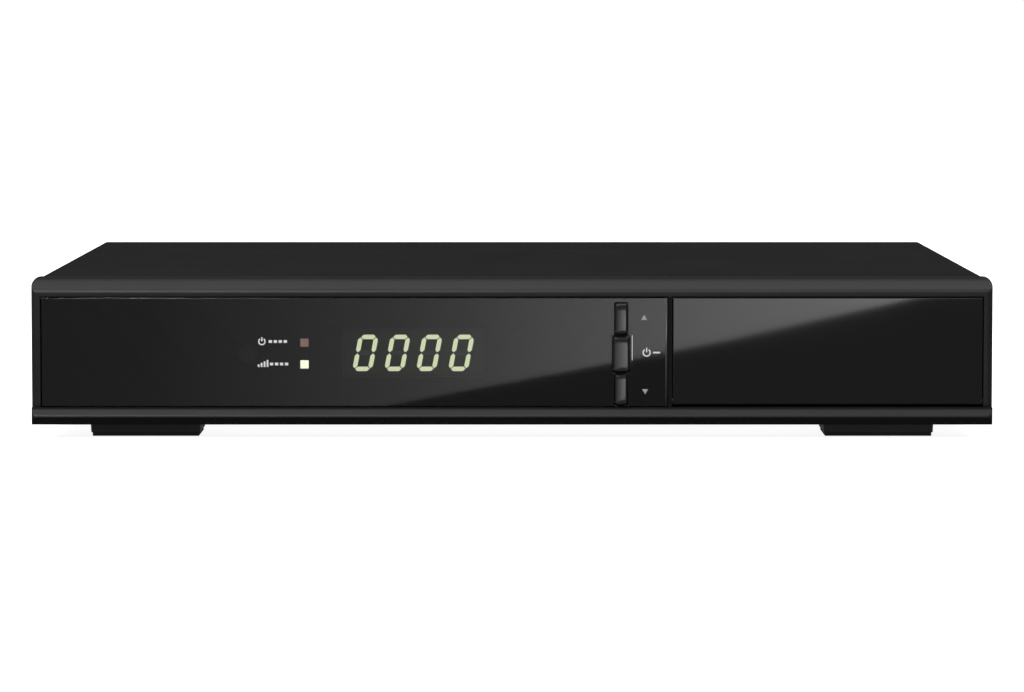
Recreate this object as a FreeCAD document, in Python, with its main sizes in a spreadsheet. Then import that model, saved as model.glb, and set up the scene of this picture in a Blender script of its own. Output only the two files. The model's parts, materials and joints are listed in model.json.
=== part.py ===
"""Satellite television receiver, as the set comes apart on a bench.

Millimetres, +Z up. The front faces -Y, +X is to the right, and the origin lies on the
table below the middle of the set. The driving dimensions are in the spreadsheet "sizes",
the places worked out from them in the variable set "layout", and every feature is bound
to the two by formulas.
"""
import FreeCAD, Part
import math
import os
import re
import Sketcher

V = FreeCAD.Vector
doc = FreeCAD.newDocument("satellite_receiver")

# ---------------------------------------------------------------- driving dimensions

SIZES = {
    # case
    "case_width": 260, "case_depth": 190, "leg_height": 4, "sheet": 0.8, "sheet_bend": 1.6,
    "sheet_gap": 0.1, "cover_inset": 1.8, "flange_height": 10, "cover_drop": 7.5, "strip_inset": 4,
    "hem_gap": 0.2, "flange_relief": 2, "panel_foot": 7, "side_slot_width": 2, "side_slot_height": 15,
    "side_slot_count": 14, "side_slot_pitch": 5, "side_slot_start": 45, "side_slot_lift": 3,
    "base_slot_length": 40, "base_slot_width": 2.4, "base_slot_count": 12, "base_slot_pitch": 6,
    "base_slot_start": 20, "base_slot_inset": 52,
    # front moulding
    "bezel_depth": 16, "chin_reach": 1.5, "chin_nose": 2.1, "chin_height": 4.7, "window_height": 30,
    "brow_strip": 1.7, "brow_rise": 3.6, "brow_run": 4.8, "cover_seam": 0.4, "side_border": 2.5,
    "bezel_round": 2.4, "corner_round": 1.5, "edge_break": 0.4, "fine_edge": 0.2, "front_wall": 2.5,
    "tongue_wall": 1.5, "window_thick": 1.8, "fit_gap": 0.15, "touch_gap": 0.05, "boss_side": 5.0,
    "boss_from_keys": 7.2, "hook_pitch": 60, "hook_width": 8, "hook_thick": 1.5,
    "hook_barb": 0.8, "hook_root": 4, "hook_reach": 2, "hook_play": 1,
    # door
    "door_span": 84.3, "rib_width": 1.0, "door_thick": 2.0, "door_gap": 0.2, "barrel_radius": 1.5,
    "pin_radius": 0.8, "pin_play": 0.05, "pin_reach": 0.8, "bay_left_inset": 7, "bay_right_inset": 11,
    "bay_height": 23, "bay_rise": 5.3, "bay_rim": 1.2, "bay_depth": 8.7, "nub_width": 2.4,
    "nub_height": 1.2, "nub_inset": 3,
    # keys
    "key_offset": 12.7, "key_drop": 0.5, "power_width": 4.3, "power_height": 9.5, "key_width": 3.2,
    "key_height": 8.2, "key_step": 9.6, "key_proud": 0.5, "key_travel": 0.4, "key_slit": 0.25,
    "key_flange": 0.8, "key_flange_lap": 1.5, "stem_side": 2.0, "plunger_side": 3.0,
    "plunger_reach": 1.0, "switch_side": 6.2, "switch_depth": 3.6,
    # front board and what it carries
    "front_board_y": 11, "board_thick": 1.6, "front_board_left": 39.5, "front_board_past": 10.5,
    "display_in": 100.8, "display_drop": 0.3, "display_set": 0.5, "display_width": 38,
    "display_height": 12.8, "display_depth": 7, "lead_radius": 0.25, "lead_pitch": 2.54,
    "lead_inset": 1.4, "digit_height": 9.87, "digit_width": 4.2, "digit_pitch": 8.65, "digit_slant": 11,
    "segment_width": 1.2, "segment_thick": 0.2, "segment_break": 0.16, "lamp_in": 71.3,
    "lamp_pitch": 5.9, "pipe_side": 2.0, "pipe_collar": 2.0, "pipe_collar_thick": 1, "lamp_side": 2.2,
    "lamp_thick": 0.8, "eye_in": 56, "eye_radius": 2.3, "eye_reach": 2, "eye_case": 6.9, "tap_depth": 4,
    # boards
    "standoff_height": 5.2, "main_depth": 116, "side_room": 3.5, "board_gap": 6, "post_across": 5.5,
    "board_screw_across": 5.5, "power_board_width": 54, "power_board_depth": 84, "board_inset": 4,
    "main_clear": 2, "power_clear": 8, "main_post_back": 50, "power_post_back": 20, 
    "screw_shank": 2.6, "pilot_shank": 1.9, "head_radius": 2.8, "head_height": 1.6, "screw_length": 4,
    "side_screw_back": 35, "rear_screw_x": 96,
    # tuner and its two barrels
    "tuner_in": 22, "tuner_width": 36, "tuner_depth": 42, "tuner_height": 17, "lid_lap": 0.5,
    "lid_height": 4, "lnb_pitch": 20, "lnb_radius": 4.76, "lnb_reach": 10.5, "lnb_bore": 3.4,
    "lnb_bore_depth": 8, "nut_across": 11, "nut_thick": 2.0, "core_set": 1, "root_step": 0.16,
    "root_relief": 0.3,
    # sockets
    "scart_in": 66.5, "scart_width": 47, "scart_height": 14.5, "scart_depth": 16, "scart_proud": 0.5,
    "scart_moat_width": 44, "scart_moat_height": 10.4, "scart_moat_depth": 10, "scart_slant": 2,
    "scart_tongue_width": 41.4, "scart_tongue_height": 8, "blade_pitch": 3.81, "blade_row": 1.9,
    "blade_width": 1, "blade_height": 2.6, "blade_depth": 8, "blade_count": 10, "jack_pitch": 12.5,
    "jack_z": 20, "jack_radius": 4.15, "jack_bore": 3.3, "jack_collar": 5.4, "jack_reach": 8.5,
    "jack_collar_reach": 1.6, "jack_block_depth": 12, "socket_proud": 0.3, "hdmi_in": 26.2,
    "hdmi_width": 15.4, "hdmi_height": 6.2, "hdmi_depth": 12, "hdmi_wall": 0.7,
    "hdmi_tongue_width": 10.9, "hdmi_tongue_thick": 1.2, "hdmi_tongue_rise": 3.6, "lan_in": 9,
    "lan_width": 16, "lan_height": 13.5, "lan_depth": 15.5, "lan_mouth_width": 11.9,
    "lan_mouth_height": 8, "lan_mouth_depth": 12, "lan_mouth_rise": 4.2, "lan_latch_rise": 1.6,
    "inlet_in": 23, "inlet_width": 21, "inlet_height": 13, "inlet_depth": 15, "inlet_mouth_width": 15.6,
    "inlet_mouth_height": 8.2, "inlet_mouth_depth": 11, "inlet_pin_set": 1.5, "inlet_pin_radius": 1.15,
    "inlet_pin_pitch": 8.6, "mains_z": 20, "rocker_set": 1.2, "pivot_radius": 1.2, "flange_lip": 1.6,
    "rocker_in": 49, "rocker_radius": 8.2, "rocker_width": 9.6, "rocker_face": 3.0, "rocker_tilt": 10,
    "rocker_well": 5.3, "rocker_gap": 0.25, "frame_wall": 2.2, "frame_depth": 14,
    # card bay
    "card_board_z": 10.5, "card_board_clear": 5.3, "reader_width": 57, "reader_depth": 48,
    "reader_height": 6, "reader_inset": 0.8, "card_slot_width": 54.6, "card_slot_height": 1.5,
    "slot_floor": 3, "usb_inset": 1, "usb_width": 5.8, "usb_height": 13.2, "usb_depth": 14,
    "usb_wall": 0.5, "usb_floor": 2, "usb_tongue": 1.8, "usb_tongue_inset": 1.2, "card_board_left": 6,
    "card_board_right": 1, "card_post_inset": 3, "card_post_front": 15, "card_post_back": 5,
    # parts on the boards
    "chip_in": 82, "chip_back": 48, "chip_side": 27, "chip_thick": 2.2, "memory_width": 9,
    "memory_length": 13, "memory_thick": 1.2, "memory_gap": 5, "flash_in": 54, "sink_side": 32,
    "sink_base": 2, "fin_height": 9, "fin_thick": 1, "fin_count": 9, "plate_sink_in": 6,
    "plate_sink_back": 26, "plate_sink_thick": 2, "plate_sink_length": 36, "plate_sink_height": 24,
    "plate_fin_reach": 7, "plate_fin_count": 8, "bulk_radius": 8, "bulk_height": 24, "bulk_in": 34,
    "bulk_back": 20, "small_can_radius": 4, "small_can_height": 12, "small_can_pitch": 11,
    "can_gap": 7.7, "tall_can_height": 17, "core_back": 47, "core_width": 24, "core_depth": 9,
    "core_height": 21, "winding_depth": 17, "core_plate": 2.5, "core_leg": 4, "core_window": 8.6,
    "choke_back": 68, "choke_side": 13, "choke_height": 11, "choke_bar": 3, "coil_across": 5.5,
    "coil_short": 3.5, "fuse_in": 8, "fuse_radius": 2.6, "fuse_lift": 0.5, "fuse_length": 20,
    "clip_width": 2, "foil_thick": 0.4, "foil_inset": 1, "ribbon_width": 18, "ribbon_in": 100,
    "ribbon_rise": 15, "ribbon_run": 8, "ribbon_lap": 3, "plug_depth": 5, "plug_thick": 4,
    "ribbon_thick": 0.5, "header_height": 6, "lead_back": 14, "lead_in": 5, "lead_thick": 1.4,
    "lead_width": 8, "lead_rise": 6, "lead_bend": 2, "lead_plug_side": 1, "ribbon_plug_side": 1.5,
    # feet
    "foot_inset": 30, "foot_width": 30, "foot_length": 20, "foot_pad": 1.0, "pad_inset": 0.5,
    "foot_set": 10, "foot_taper": 3, "peg_side": 4.5, "peg_height": 2.4,
}

sheet = doc.addObject("Spreadsheet::Sheet", "sizes")
for row, (alias, number) in enumerate(SIZES.items(), 1):
    sheet.set(f"A{row}", alias)
    sheet.set(f"B{row}", str(number))
    sheet.setAlias(f"B{row}", alias)
doc.recompute()

layout = doc.addObject("App::VarSet", "layout")
gauge = doc.addObject("App::VarSet", "gauge")
gauge.addProperty("App::PropertyFloat", "reading", "gauge")
holders = {alias: "sizes." + alias for alias in SIZES}


def formula(text):
    """Each known word of the text gets the name of the object that holds it."""
    return re.sub(r"[a-z_][a-z0-9_]*", lambda word: holders.get(word.group(), word.group()), str(text))


def bind(thing, prop, text):
    thing.setExpression(prop, formula(text))


def place(name, text):
    """A place worked out from the sizes, kept in the layout."""
    layout.addProperty("App::PropertyFloat", name, "places")
    bind(layout, name, text)
    holders[name] = "layout." + name


def value(text):
    bind(gauge, "reading", text)
    gauge.recompute()
    return gauge.reading


# ---------------------------------------------------------------- places

place("half_width", "case_width / 2")
place("face", "(chin_reach - case_depth - lnb_reach) / 2")
place("rear", "face + case_depth")
place("under", "leg_height")
place("sill", "under + chin_height")
place("lintel", "sill + window_height")
place("brow", "lintel + brow_strip")
place("crown", "brow + brow_rise")
place("seat", "face + window_thick")
place("wall_back", "seat + front_wall")
place("seam", "face + brow_run + cover_seam")
place("rim", "face + bezel_depth")
place("cover_half", "half_width - cover_inset")
place("foot_x", "half_width - foot_inset")
place("inner_half", "cover_half - sheet - sheet_gap")
place("roof", "crown - sheet - sheet_gap")
place("hollow_half", "inner_half - tongue_wall")
place("tray_top", "under + sheet")
place("panel_in", "rear - sheet")
place("board_z", "tray_top + standoff_height")
place("deck", "board_z + board_thick")
place("recess_half", "half_width - side_border")
place("rib_left", "recess_half - door_span - rib_width")
place("door_left", "rib_left + rib_width + door_gap")
place("door_right", "recess_half - door_gap")
place("hinge_y", "face + barrel_radius")
place("hinge_z", "sill + door_gap + barrel_radius")
place("bay_left", "rib_left + rib_width + bay_left_inset")
place("bay_right", "recess_half - bay_right_inset")
place("bay_low", "sill + bay_rise")
place("bay_high", "bay_low + bay_height")
place("bay_end", "face + bay_depth")
place("front_board", "face + front_board_y")
place("window_z", "(sill + lintel) / 2")
place("keys_x", "rib_left - key_offset")
place("keys_z", "window_z - key_drop")
place("digits_x", "display_in - recess_half")
place("digits_z", "window_z - display_drop")
place("display_front", "seat + display_set")
place("lamps_x", "lamp_in - recess_half")
place("eye_x", "eye_in - recess_half")
place("board_left", "front_board_left - recess_half")
place("board_right", "keys_x + front_board_past")
place("main_left", "side_room - inner_half")
place("main_back", "rear - main_clear")
place("main_front", "main_back - main_depth")
place("power_right", "inner_half - side_room")
place("power_left", "power_right - power_board_width")
place("main_right", "power_left - board_gap")
place("power_back", "rear - power_clear")
place("power_front", "power_back - power_board_depth")
place("card_board_end", "main_front - card_board_clear")
place("card_board", "under + card_board_z")
place("card_deck", "card_board + board_thick")
place("tuner_x", "main_left + tuner_in")
place("scart_x", "main_left + scart_in")
place("hdmi_x", "main_right - hdmi_in")
place("jack_x", "(scart_x + scart_width / 2 + hdmi_x - hdmi_width / 2) / 2")
place("lan_x", "main_right - lan_in")
place("lnb_z", "deck + tuner_height / 2")
place("sockets_z", "under + jack_z")
place("inlet_x", "half_width - inlet_in")
place("rocker_x", "half_width - rocker_in")
place("inlet_z", "under + mains_z")
doc.recompute()

# ---------------------------------------------------------------- modelling helpers

nodes = []
OUTWARD = {"XY_Plane": "+z", "XZ_Plane": "-y", "YZ_Plane": "+x"}
TURNS = {"z": FreeCAD.Rotation(), "y": FreeCAD.Rotation(V(1, 0, 0), -90),
         "x": FreeCAD.Rotation(V(0, 1, 0), 90)}


def node(thing, label):
    """A finished sub-part: its label is the name of its file."""
    thing.Label = label
    nodes.append(thing)
    return thing


def new_body(name):
    return doc.addObject("PartDesign::Body", name + "_body")


def sketch_on(body, plane, at="0", shift=("0", "0")):
    """A sketch on one of the body's own planes, moved to the stated coordinate."""
    sketch = body.newObject("Sketcher::SketchObject", body.Name + "_sketch")
    role = plane + "_Plane"
    sketch.AttachmentSupport = [(next(o for o in body.Origin.OriginFeatures if o.Role == role), "")]
    sketch.MapMode = "FlatFace"
    bind(sketch, "AttachmentOffset.Base.x", shift[0])
    bind(sketch, "AttachmentOffset.Base.y", shift[1])
    bind(sketch, "AttachmentOffset.Base.z", f"-({at})" if plane == "XZ" else at)
    return sketch


def limit(sketch, kind, target, text):
    number = sketch.addConstraint(Sketcher.Constraint(kind, *target, value(text)))
    bind(sketch, f"Constraints[{number}]", text)


def tie(sketch, geometry, point, x, y):
    limit(sketch, "DistanceX", (-1, 1, geometry, point), x)
    limit(sketch, "DistanceY", (-1, 1, geometry, point), y)


def outline(sketch, corners):
    """A closed outline of straight lines, each corner tied to the sketch's origin."""
    spots = [V(value(x), value(y), 0) for x, y in corners]
    first = sketch.GeometryCount
    count = len(corners)
    for i in range(count):
        sketch.addGeometry(Part.LineSegment(spots[i], spots[(i + 1) % count]))
    for i in range(count):
        sketch.addConstraint(Sketcher.Constraint("Coincident", first + i, 2, first + (i + 1) % count, 1))
    for i, (x, y) in enumerate(corners):
        tie(sketch, first + i, 1, x, y)
    return sketch


def rectangle(sketch, x, y):
    """x and y are (low, high) pairs of formulas."""
    return outline(sketch, [(x[0], y[0]), (x[1], y[0]), (x[1], y[1]), (x[0], y[1])])


def circle(sketch, x, y, radius):
    ring = sketch.addGeometry(Part.Circle(V(value(x), value(y), 0), V(0, 0, 1), value(radius)))
    tie(sketch, ring, 3, x, y)
    limit(sketch, "Radius", (ring,), radius)
    return sketch


def six_sided(sketch, x, y, across, upright=False):
    """A hexagon stated across its flats; upright puts two corners above and below its centre."""
    far, near, half = f"({across}) / 2 / cos(30)", f"({across}) / 4 / cos(30)", f"({across}) / 2"
    corners = [(f"+ {far}", "+ 0"), (f"+ {near}", f"+ {half}"), (f"- {near}", f"+ {half}"),
               (f"- {far}", "+ 0"), (f"- {near}", f"- {half}"), (f"+ {near}", f"- {half}")]
    if upright:
        corners = [(b, a) for a, b in corners]
    return outline(sketch, [(f"{x} {a}", f"{y} {b}") for a, b in corners])


def slot(sketch, x, y, radius):
    """A slot with round ends; one of x and y is a pair, the centres of its two ends."""
    upright = isinstance(y, tuple)
    ends = [(x, y[0]), (x, y[1])] if upright else [(x[0], y), (x[1], y)]
    low, high = (V(value(a), value(b), 0) for a, b in ends)
    r = value(radius)
    side = V(r, 0, 0) if upright else V(0, -r, 0)
    turn = 0 if upright else -math.pi / 2
    first = sketch.addGeometry(Part.LineSegment(low + side, high + side))
    cap = sketch.addGeometry(Part.ArcOfCircle(Part.Circle(high, V(0, 0, 1), r), turn, turn + math.pi))
    back = sketch.addGeometry(Part.LineSegment(high - side, low - side))
    foot_ring = Part.Circle(low, V(0, 0, 1), r)
    foot = sketch.addGeometry(Part.ArcOfCircle(foot_ring, turn + math.pi, turn + 2 * math.pi))
    for a, b in ((first, cap), (cap, back), (back, foot), (foot, first)):
        sketch.addConstraint(Sketcher.Constraint("Tangent", a, 2, b, 1))
    sketch.addConstraint(Sketcher.Constraint("Equal", cap, foot))
    tie(sketch, cap, 3, *ends[1])
    tie(sketch, foot, 3, *ends[0])
    limit(sketch, "Radius", (cap,), radius)
    return sketch


def round_off(sketch, side, level, outward, radius):
    """The waste outside a quarter round where the side of the case meets the stated level."""
    beyond = f"{level} + {outward}"
    short = f"{level} - {outward} * {radius}"
    out, inside = (f"{side} * (half_width + 1)", f"{side} * (half_width - {radius})")
    spots = [(inside, level), (inside, beyond), (out, beyond), (out, short), (f"{side} * half_width", short)]
    points = [V(value(x), value(y), 0) for x, y in spots]
    first = sketch.GeometryCount
    for a, b in zip(points, points[1:]):
        sketch.addGeometry(Part.LineSegment(a, b))
    centre = V(points[0].x, points[4].y, 0)
    bow = centre + V(side, outward, 0).normalize() * value(radius)
    arc = sketch.addGeometry(Part.Arc(points[4], bow, points[0]))
    for i in range(3):
        sketch.addConstraint(Sketcher.Constraint("Coincident", first + i, 2, first + i + 1, 1))
    start, end = (1, 2) if (sketch.getPoint(arc, 1) - points[4]).Length < 1e-6 else (2, 1)
    sketch.addConstraint(Sketcher.Constraint("Coincident", first + 3, 2, arc, start))
    sketch.addConstraint(Sketcher.Constraint("Coincident", first, 1, arc, end))
    for i, (x, y) in enumerate(spots[:4]):
        tie(sketch, first + i, 1, x, y)
    tie(sketch, first + 3, 2, *spots[4])
    limit(sketch, "Radius", (arc,), radius)
    return sketch


def extrude(kind, sketch, length, towards, usual):
    """Pad or pocket; towards is a signed axis, or "both" for half of the length each way."""
    body = sketch.getParentGeoFeatureGroup()
    feature = body.newObject(f"PartDesign::{kind}", f"{body.Name}_{kind.lower()}")
    feature.Profile = sketch
    bind(feature, "Length", length)
    if towards == "both":
        feature.Midplane = True
    else:
        feature.Reversed = towards != usual
    return feature


def plane_of(sketch):
    return sketch.AttachmentSupport[0][0].Role


def pad(sketch, length, towards):
    return extrude("Pad", sketch, length, towards, OUTWARD[plane_of(sketch)])


def cut(sketch, depth, towards):
    inward = OUTWARD[plane_of(sketch)].translate(str.maketrans("+-", "-+"))
    return extrude("Pocket", sketch, depth, towards, inward)


def repeat(feature, sketch, axis, pitch, count):
    """A row of copies of one feature along the sketch's own axis."""
    body = sketch.getParentGeoFeatureGroup()
    row = body.newObject("PartDesign::LinearPattern", body.Name + "_row")
    row.Originals = [feature]
    row.Direction = (sketch, [axis])
    bind(row, "Length", f"({count} - 1) * ({pitch})")
    bind(row, "Occurrences", count)
    body.Tip = row
    return row


def soften(body, kind, size, chosen):
    """Fillet or chamfer on the edges that the test picks."""
    doc.recompute()
    base = body.Tip
    edges = [f"Edge{i}" for i, edge in enumerate(base.Shape.Edges, 1) if chosen(edge)]
    feature = body.newObject(f"PartDesign::{kind}", f"{body.Name}_{kind.lower()}")
    feature.Base = (base, edges)
    bind(feature, "Radius" if kind == "Fillet" else "Size", size)
    return feature


def runs_along(edge, axis):
    """True for a straight edge along the axis, given as 0, 1 or 2 for X, Y or Z."""
    if len(edge.Vertexes) != 2:
        return False
    span = edge.Vertexes[1].Point - edge.Vertexes[0].Point
    return abs(abs(span[axis]) - edge.Length) < 1e-6


def middle(centre, size):
    return (f"({centre}) - ({size}) / 2", f"({centre}) + ({size}) / 2")


def block(x, y, z):
    """A plain box; x, y and z are (low, high) pairs of formulas."""
    box = doc.addObject("Part::Box", "block")
    for side, letter, (low, high) in zip(("Length", "Width", "Height"), "xyz", (x, y, z)):
        bind(box, side, f"({high}) - ({low})")
        bind(box, "Placement.Base." + letter, low)
    return box


def rod(axis, radius, length, x, y, z):
    """A round bar from x, y, z in the positive direction of its axis."""
    bar = doc.addObject("Part::Cylinder", "rod")
    bind(bar, "Radius", radius)
    bind(bar, "Height", length)
    bar.Placement = FreeCAD.Placement(V(), TURNS[axis])
    for letter, text in zip("xyz", (x, y, z)):
        bind(bar, "Placement.Base." + letter, text)
    return bar


def hexagon(axis, across, length, x, y, z):
    """A hexagonal bar, stated across its flats, in the positive direction of its axis."""
    prism = doc.addObject("Part::Prism", "hexagon")
    prism.Polygon = 6
    bind(prism, "Circumradius", f"({across}) / 2 / cos(30)")
    bind(prism, "Height", length)
    prism.Placement = FreeCAD.Placement(V(), TURNS[axis])
    for letter, text in zip("xyz", (x, y, z)):
        bind(prism, "Placement.Base." + letter, text)
    return prism


def fused(*parts):
    if len(parts) == 1:
        return parts[0]
    joined = doc.addObject("Part::MultiFuse", "fused")
    joined.Shapes = list(parts)
    return joined


def without(base, *tools):
    rest = doc.addObject("Part::Cut", "rest")
    rest.Base = base
    rest.Tool = fused(*tools)
    return rest


def group(*parts):
    """Like pieces that share a node and stay separate solids."""
    bag = doc.addObject("Part::Compound", "bag")
    bag.Links = list(parts)
    return bag


# ---------------------------------------------------------------- front moulding

SIDES = (-1, 1)
KEYS = {"up": ("key_step", "key_width", "key_height"),
        "power": ("0", "power_width", "power_height"),
        "down": ("-key_step", "key_width", "key_height")}
BOSSES = [("board_left + board_inset", "window_z"), ("keys_x + boss_from_keys", "window_z")]
HOOKS = [f"{step} * hook_pitch" for step in (-1.5, -0.5, 0.5, 1.5)]


def key_openings(sketch):
    """The three openings that the keys move in, the same in the window and in the wall behind it."""
    for step, width, height in KEYS.values():
        rectangle(sketch, middle("keys_x", f"{width} + 2 * key_slit"),
                  middle(f"keys_z + {step}", f"{height} + 2 * key_slit"))
    return sketch


def make_bezel():
    body = new_body("bezel")
    fall = "brow_rise / brow_run"
    profile = outline(sketch_on(body, "YZ"), [
        ("rim", "under"), ("face + chin_reach / 3", "under"), ("face - chin_reach", "under + chin_nose"),
        ("face - chin_reach", "under + chin_nose + edge_break"), ("face", "sill"),
        ("face", "brow - edge_break"), ("face + edge_break", f"brow + edge_break * {fall}"),
        ("face + brow_run - edge_break", f"crown - edge_break * {fall}"),
        ("face + brow_run + edge_break", "crown"), ("rim", "crown")])
    pad(profile, "case_width", "both")

    # outer corners: rounded in plan at the face and at the chin, and seen from the front at the top
    for low, high, ahead in (("sill", "crown", "face"), ("under", "sill", "face - chin_reach")):
        plan = sketch_on(body, "XY", low)
        for side in SIDES:
            round_off(plan, side, ahead, -1, "corner_round")
        cut(plan, f"{high} - {low}", "+z")
    ends = sketch_on(body, "XZ", "face - chin_reach")
    for side in SIDES:
        round_off(ends, side, "crown", 1, "bezel_round")
    cut(ends, "rim - face + chin_reach", "+y")

    # the tongue that the top cover slides over
    aside, bend = "(half_width + 1)", "(sheet_bend - sheet)"
    around = outline(sketch_on(body, "XZ", "rim"), [
        (f"-{aside}", "under - 1"), ("-inner_half", "under - 1"), ("-inner_half", f"roof - {bend}"),
        (f"-inner_half + {bend}", "roof"), (f"inner_half - {bend}", "roof"), ("inner_half", f"roof - {bend}"),
        ("inner_half", "under - 1"), (aside, "under - 1"), (aside, "crown + 1"), (f"-{aside}", "crown + 1")])
    cut(around, "rim - seam", "-y")
    hollow = rectangle(sketch_on(body, "XZ", "rim"), ("-hollow_half", "hollow_half"),
                       ("under + tongue_wall", "roof - tongue_wall"))
    cut(hollow, "rim - wall_back", "-y")

    # the recess of the window and, past the rib, the deeper one of the door with its hinge channel
    window = rectangle(sketch_on(body, "XZ", "face"), ("-recess_half", "rib_left"), ("sill", "lintel"))
    cut(window, "window_thick", "+y")
    door_side = ("rib_left + rib_width", "recess_half")
    door = rectangle(sketch_on(body, "XZ", "face"), door_side, ("sill", "lintel"))
    cut(door, "door_thick + door_gap", "+y")
    channel = rectangle(sketch_on(body, "XZ", "face"), door_side,
                        ("sill", "hinge_z + barrel_radius + door_gap"))
    cut(channel, "2 * barrel_radius + door_gap", "+y")
    for edge, towards in (("rib_left + rib_width", "-x"), ("recess_half", "+x")):
        socket = circle(sketch_on(body, "YZ", edge), "hinge_y", "hinge_z", "pin_radius + pin_play")
        cut(socket, "pin_reach + 2 * pin_play", towards)

    # openings in the wall behind the window
    wall = key_openings(sketch_on(body, "XZ", "seat"))
    rectangle(wall, middle("digits_x", "display_width + 4 * fit_gap"),
              middle("digits_z", "display_height + 4 * fit_gap"))
    for side in SIDES:
        rectangle(wall, middle("lamps_x", "pipe_side + 2 * fit_gap"),
                  middle(f"keys_z + {side} * lamp_pitch / 2", "pipe_side + 2 * fit_gap"))
    circle(wall, "eye_x", "keys_z", "eye_radius + fit_gap")
    cut(wall, "front_wall", "+y")

    # card bay: an opening with a collar behind it
    bay = rectangle(sketch_on(body, "XZ", "face"), ("bay_left", "bay_right"), ("bay_low", "bay_high"))
    cut(bay, "wall_back - face", "+y")
    collar = rectangle(sketch_on(body, "XZ", "wall_back"), ("bay_left", "bay_right"), ("bay_low", "bay_high"))
    rectangle(collar, ("bay_left - bay_rim", "bay_right + bay_rim"),
              ("bay_low - bay_rim", "bay_high + bay_rim"))
    pad(collar, "bay_end - wall_back", "+y")

    bosses = sketch_on(body, "XZ", "wall_back")
    pilots = sketch_on(body, "XZ", "front_board")
    for x, z in BOSSES:
        rectangle(bosses, middle(x, "boss_side"), middle(z, "boss_side"))
        six_sided(pilots, x, z, "pilot_shank + 2 * touch_gap")
    pad(bosses, "front_board - wall_back", "+y")
    cut(pilots, "front_board - wall_back", "-y")

    shelf = "under + tongue_wall"
    for x in HOOKS:
        hook = outline(sketch_on(body, "YZ", x), [
            ("rim - hook_root", shelf), ("rim + sheet + hook_reach", shelf),
            ("rim + sheet + hook_reach", f"{shelf} + hook_thick"),
            ("rim + sheet + fit_gap", f"{shelf} + hook_thick + hook_barb"),
            ("rim + sheet + fit_gap", f"{shelf} + hook_thick"), ("rim - hook_root", f"{shelf} + hook_thick")])
        pad(hook, "hook_width", "both")

    return node(body, "front_bezel")


def make_window():
    body = new_body("window")
    plate = rectangle(sketch_on(body, "XZ", "face"), ("-recess_half + fit_gap", "rib_left - fit_gap"),
                      ("sill + fit_gap", "lintel - fit_gap"))
    pad(plate, "window_thick", "+y")
    soften(body, "Chamfer", "fine_edge", lambda edge: edge.BoundBox.YMax < value("face") + 1e-6)
    cut(key_openings(sketch_on(body, "XZ", "face")), "window_thick", "+y")
    return node(body, "front_window")


def make_door():
    body = new_body("door")
    panel = rectangle(sketch_on(body, "YZ", "door_left"), ("face", "face + door_thick"),
                      ("hinge_z", "lintel - door_gap"))
    pad(panel, "door_right - door_left", "+x")
    soften(body, "Chamfer", "fine_edge", lambda edge: edge.BoundBox.YMax < value("face") + 1e-6
           and edge.BoundBox.ZMax > value("hinge_z") + 1)
    barrel = circle(sketch_on(body, "YZ", "door_left"), "hinge_y", "hinge_z", "barrel_radius")
    pad(barrel, "door_right - door_left", "+x")
    pins = circle(sketch_on(body, "YZ", "door_left - door_gap - pin_reach"), "hinge_y", "hinge_z",
                  "pin_radius")
    pad(pins, "door_right - door_left + 2 * (door_gap + pin_reach)", "+x")
    nubs = sketch_on(body, "XZ", "face + door_thick")
    for x in ("door_left + nub_inset", "door_right - nub_inset"):
        rectangle(nubs, middle(x, "nub_width"), middle("lintel - nub_inset", "nub_height"))
    pad(nubs, "door_gap / 2", "+y")
    return node(body, "card_door")


def make_key(name, step, width, height):
    """A key: cap through the window, flange behind the wall, and a stem to the switch."""
    body = new_body(name)
    centre = f"keys_z + {step}"
    cap = rectangle(sketch_on(body, "XZ", "face - key_proud"), middle("keys_x", width),
                    middle(centre, height))
    pad(cap, "key_proud + wall_back - face + touch_gap", "+y")
    soften(body, "Chamfer", f"{width} / 6", lambda edge: runs_along(edge, 1))
    soften(body, "Chamfer", "fine_edge", lambda edge: edge.BoundBox.YMax < value("face - key_proud") + 1e-6)
    flange = rectangle(sketch_on(body, "XZ", "wall_back + touch_gap"),
                       middle("keys_x", f"{width} + 2 * key_flange_lap"),
                       middle(centre, f"{height} + key_slit"))
    pad(flange, "key_flange", "+y")
    stem = rectangle(sketch_on(body, "XZ", "wall_back + touch_gap + key_flange"),
                     middle("keys_x", "stem_side"), middle(centre, "stem_side"))
    pad(stem, "front_board - switch_depth - plunger_reach - wall_back - touch_gap - key_flange", "+y")
    node(body, name + "_button")
    mouth = "front_board - switch_depth"
    plunger = block(middle("keys_x", "plunger_side"),
                    (f"{mouth} - plunger_reach", f"{mouth} + plunger_reach"), middle(centre, "plunger_side"))
    node(plunger, name + "_switch_plunger")


def make_switches():
    cases = []
    for step, width, height in KEYS.values():
        centre = f"keys_z + {step}"
        case = block(middle("keys_x", "switch_side"), ("front_board - switch_depth", "front_board"),
                     middle(centre, "switch_side"))
        mouth = "front_board - switch_depth"
        well = block(middle("keys_x", "plunger_side + 2 * touch_gap"),
                     (f"{mouth} - 1", f"{mouth} + plunger_reach + 2 * key_travel"),
                     middle(centre, "plunger_side + 2 * touch_gap"))
        cases.append(without(case, well))
    node(group(*cases), "key_switches")


# ---------------------------------------------------------------- front board

def make_front_board():
    board = block(("board_left", "board_right"), ("front_board", "front_board + board_thick"),
                  ("sill + door_gap", "lintel - door_gap"))
    holes = [hexagon("y", "pilot_shank + 2 * fit_gap", "board_thick", x, "front_board", z)
             for x, z in BOSSES]
    node(without(board, *holes), "front_board")
    screws = [fused(hexagon("y", "board_screw_across", "head_height", x, "front_board + board_thick", z),
                    hexagon("y", "pilot_shank", "board_thick + tap_depth", x, "front_board - tap_depth", z))
              for x, z in BOSSES]
    node(group(*screws), "front_board_screws")


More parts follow.
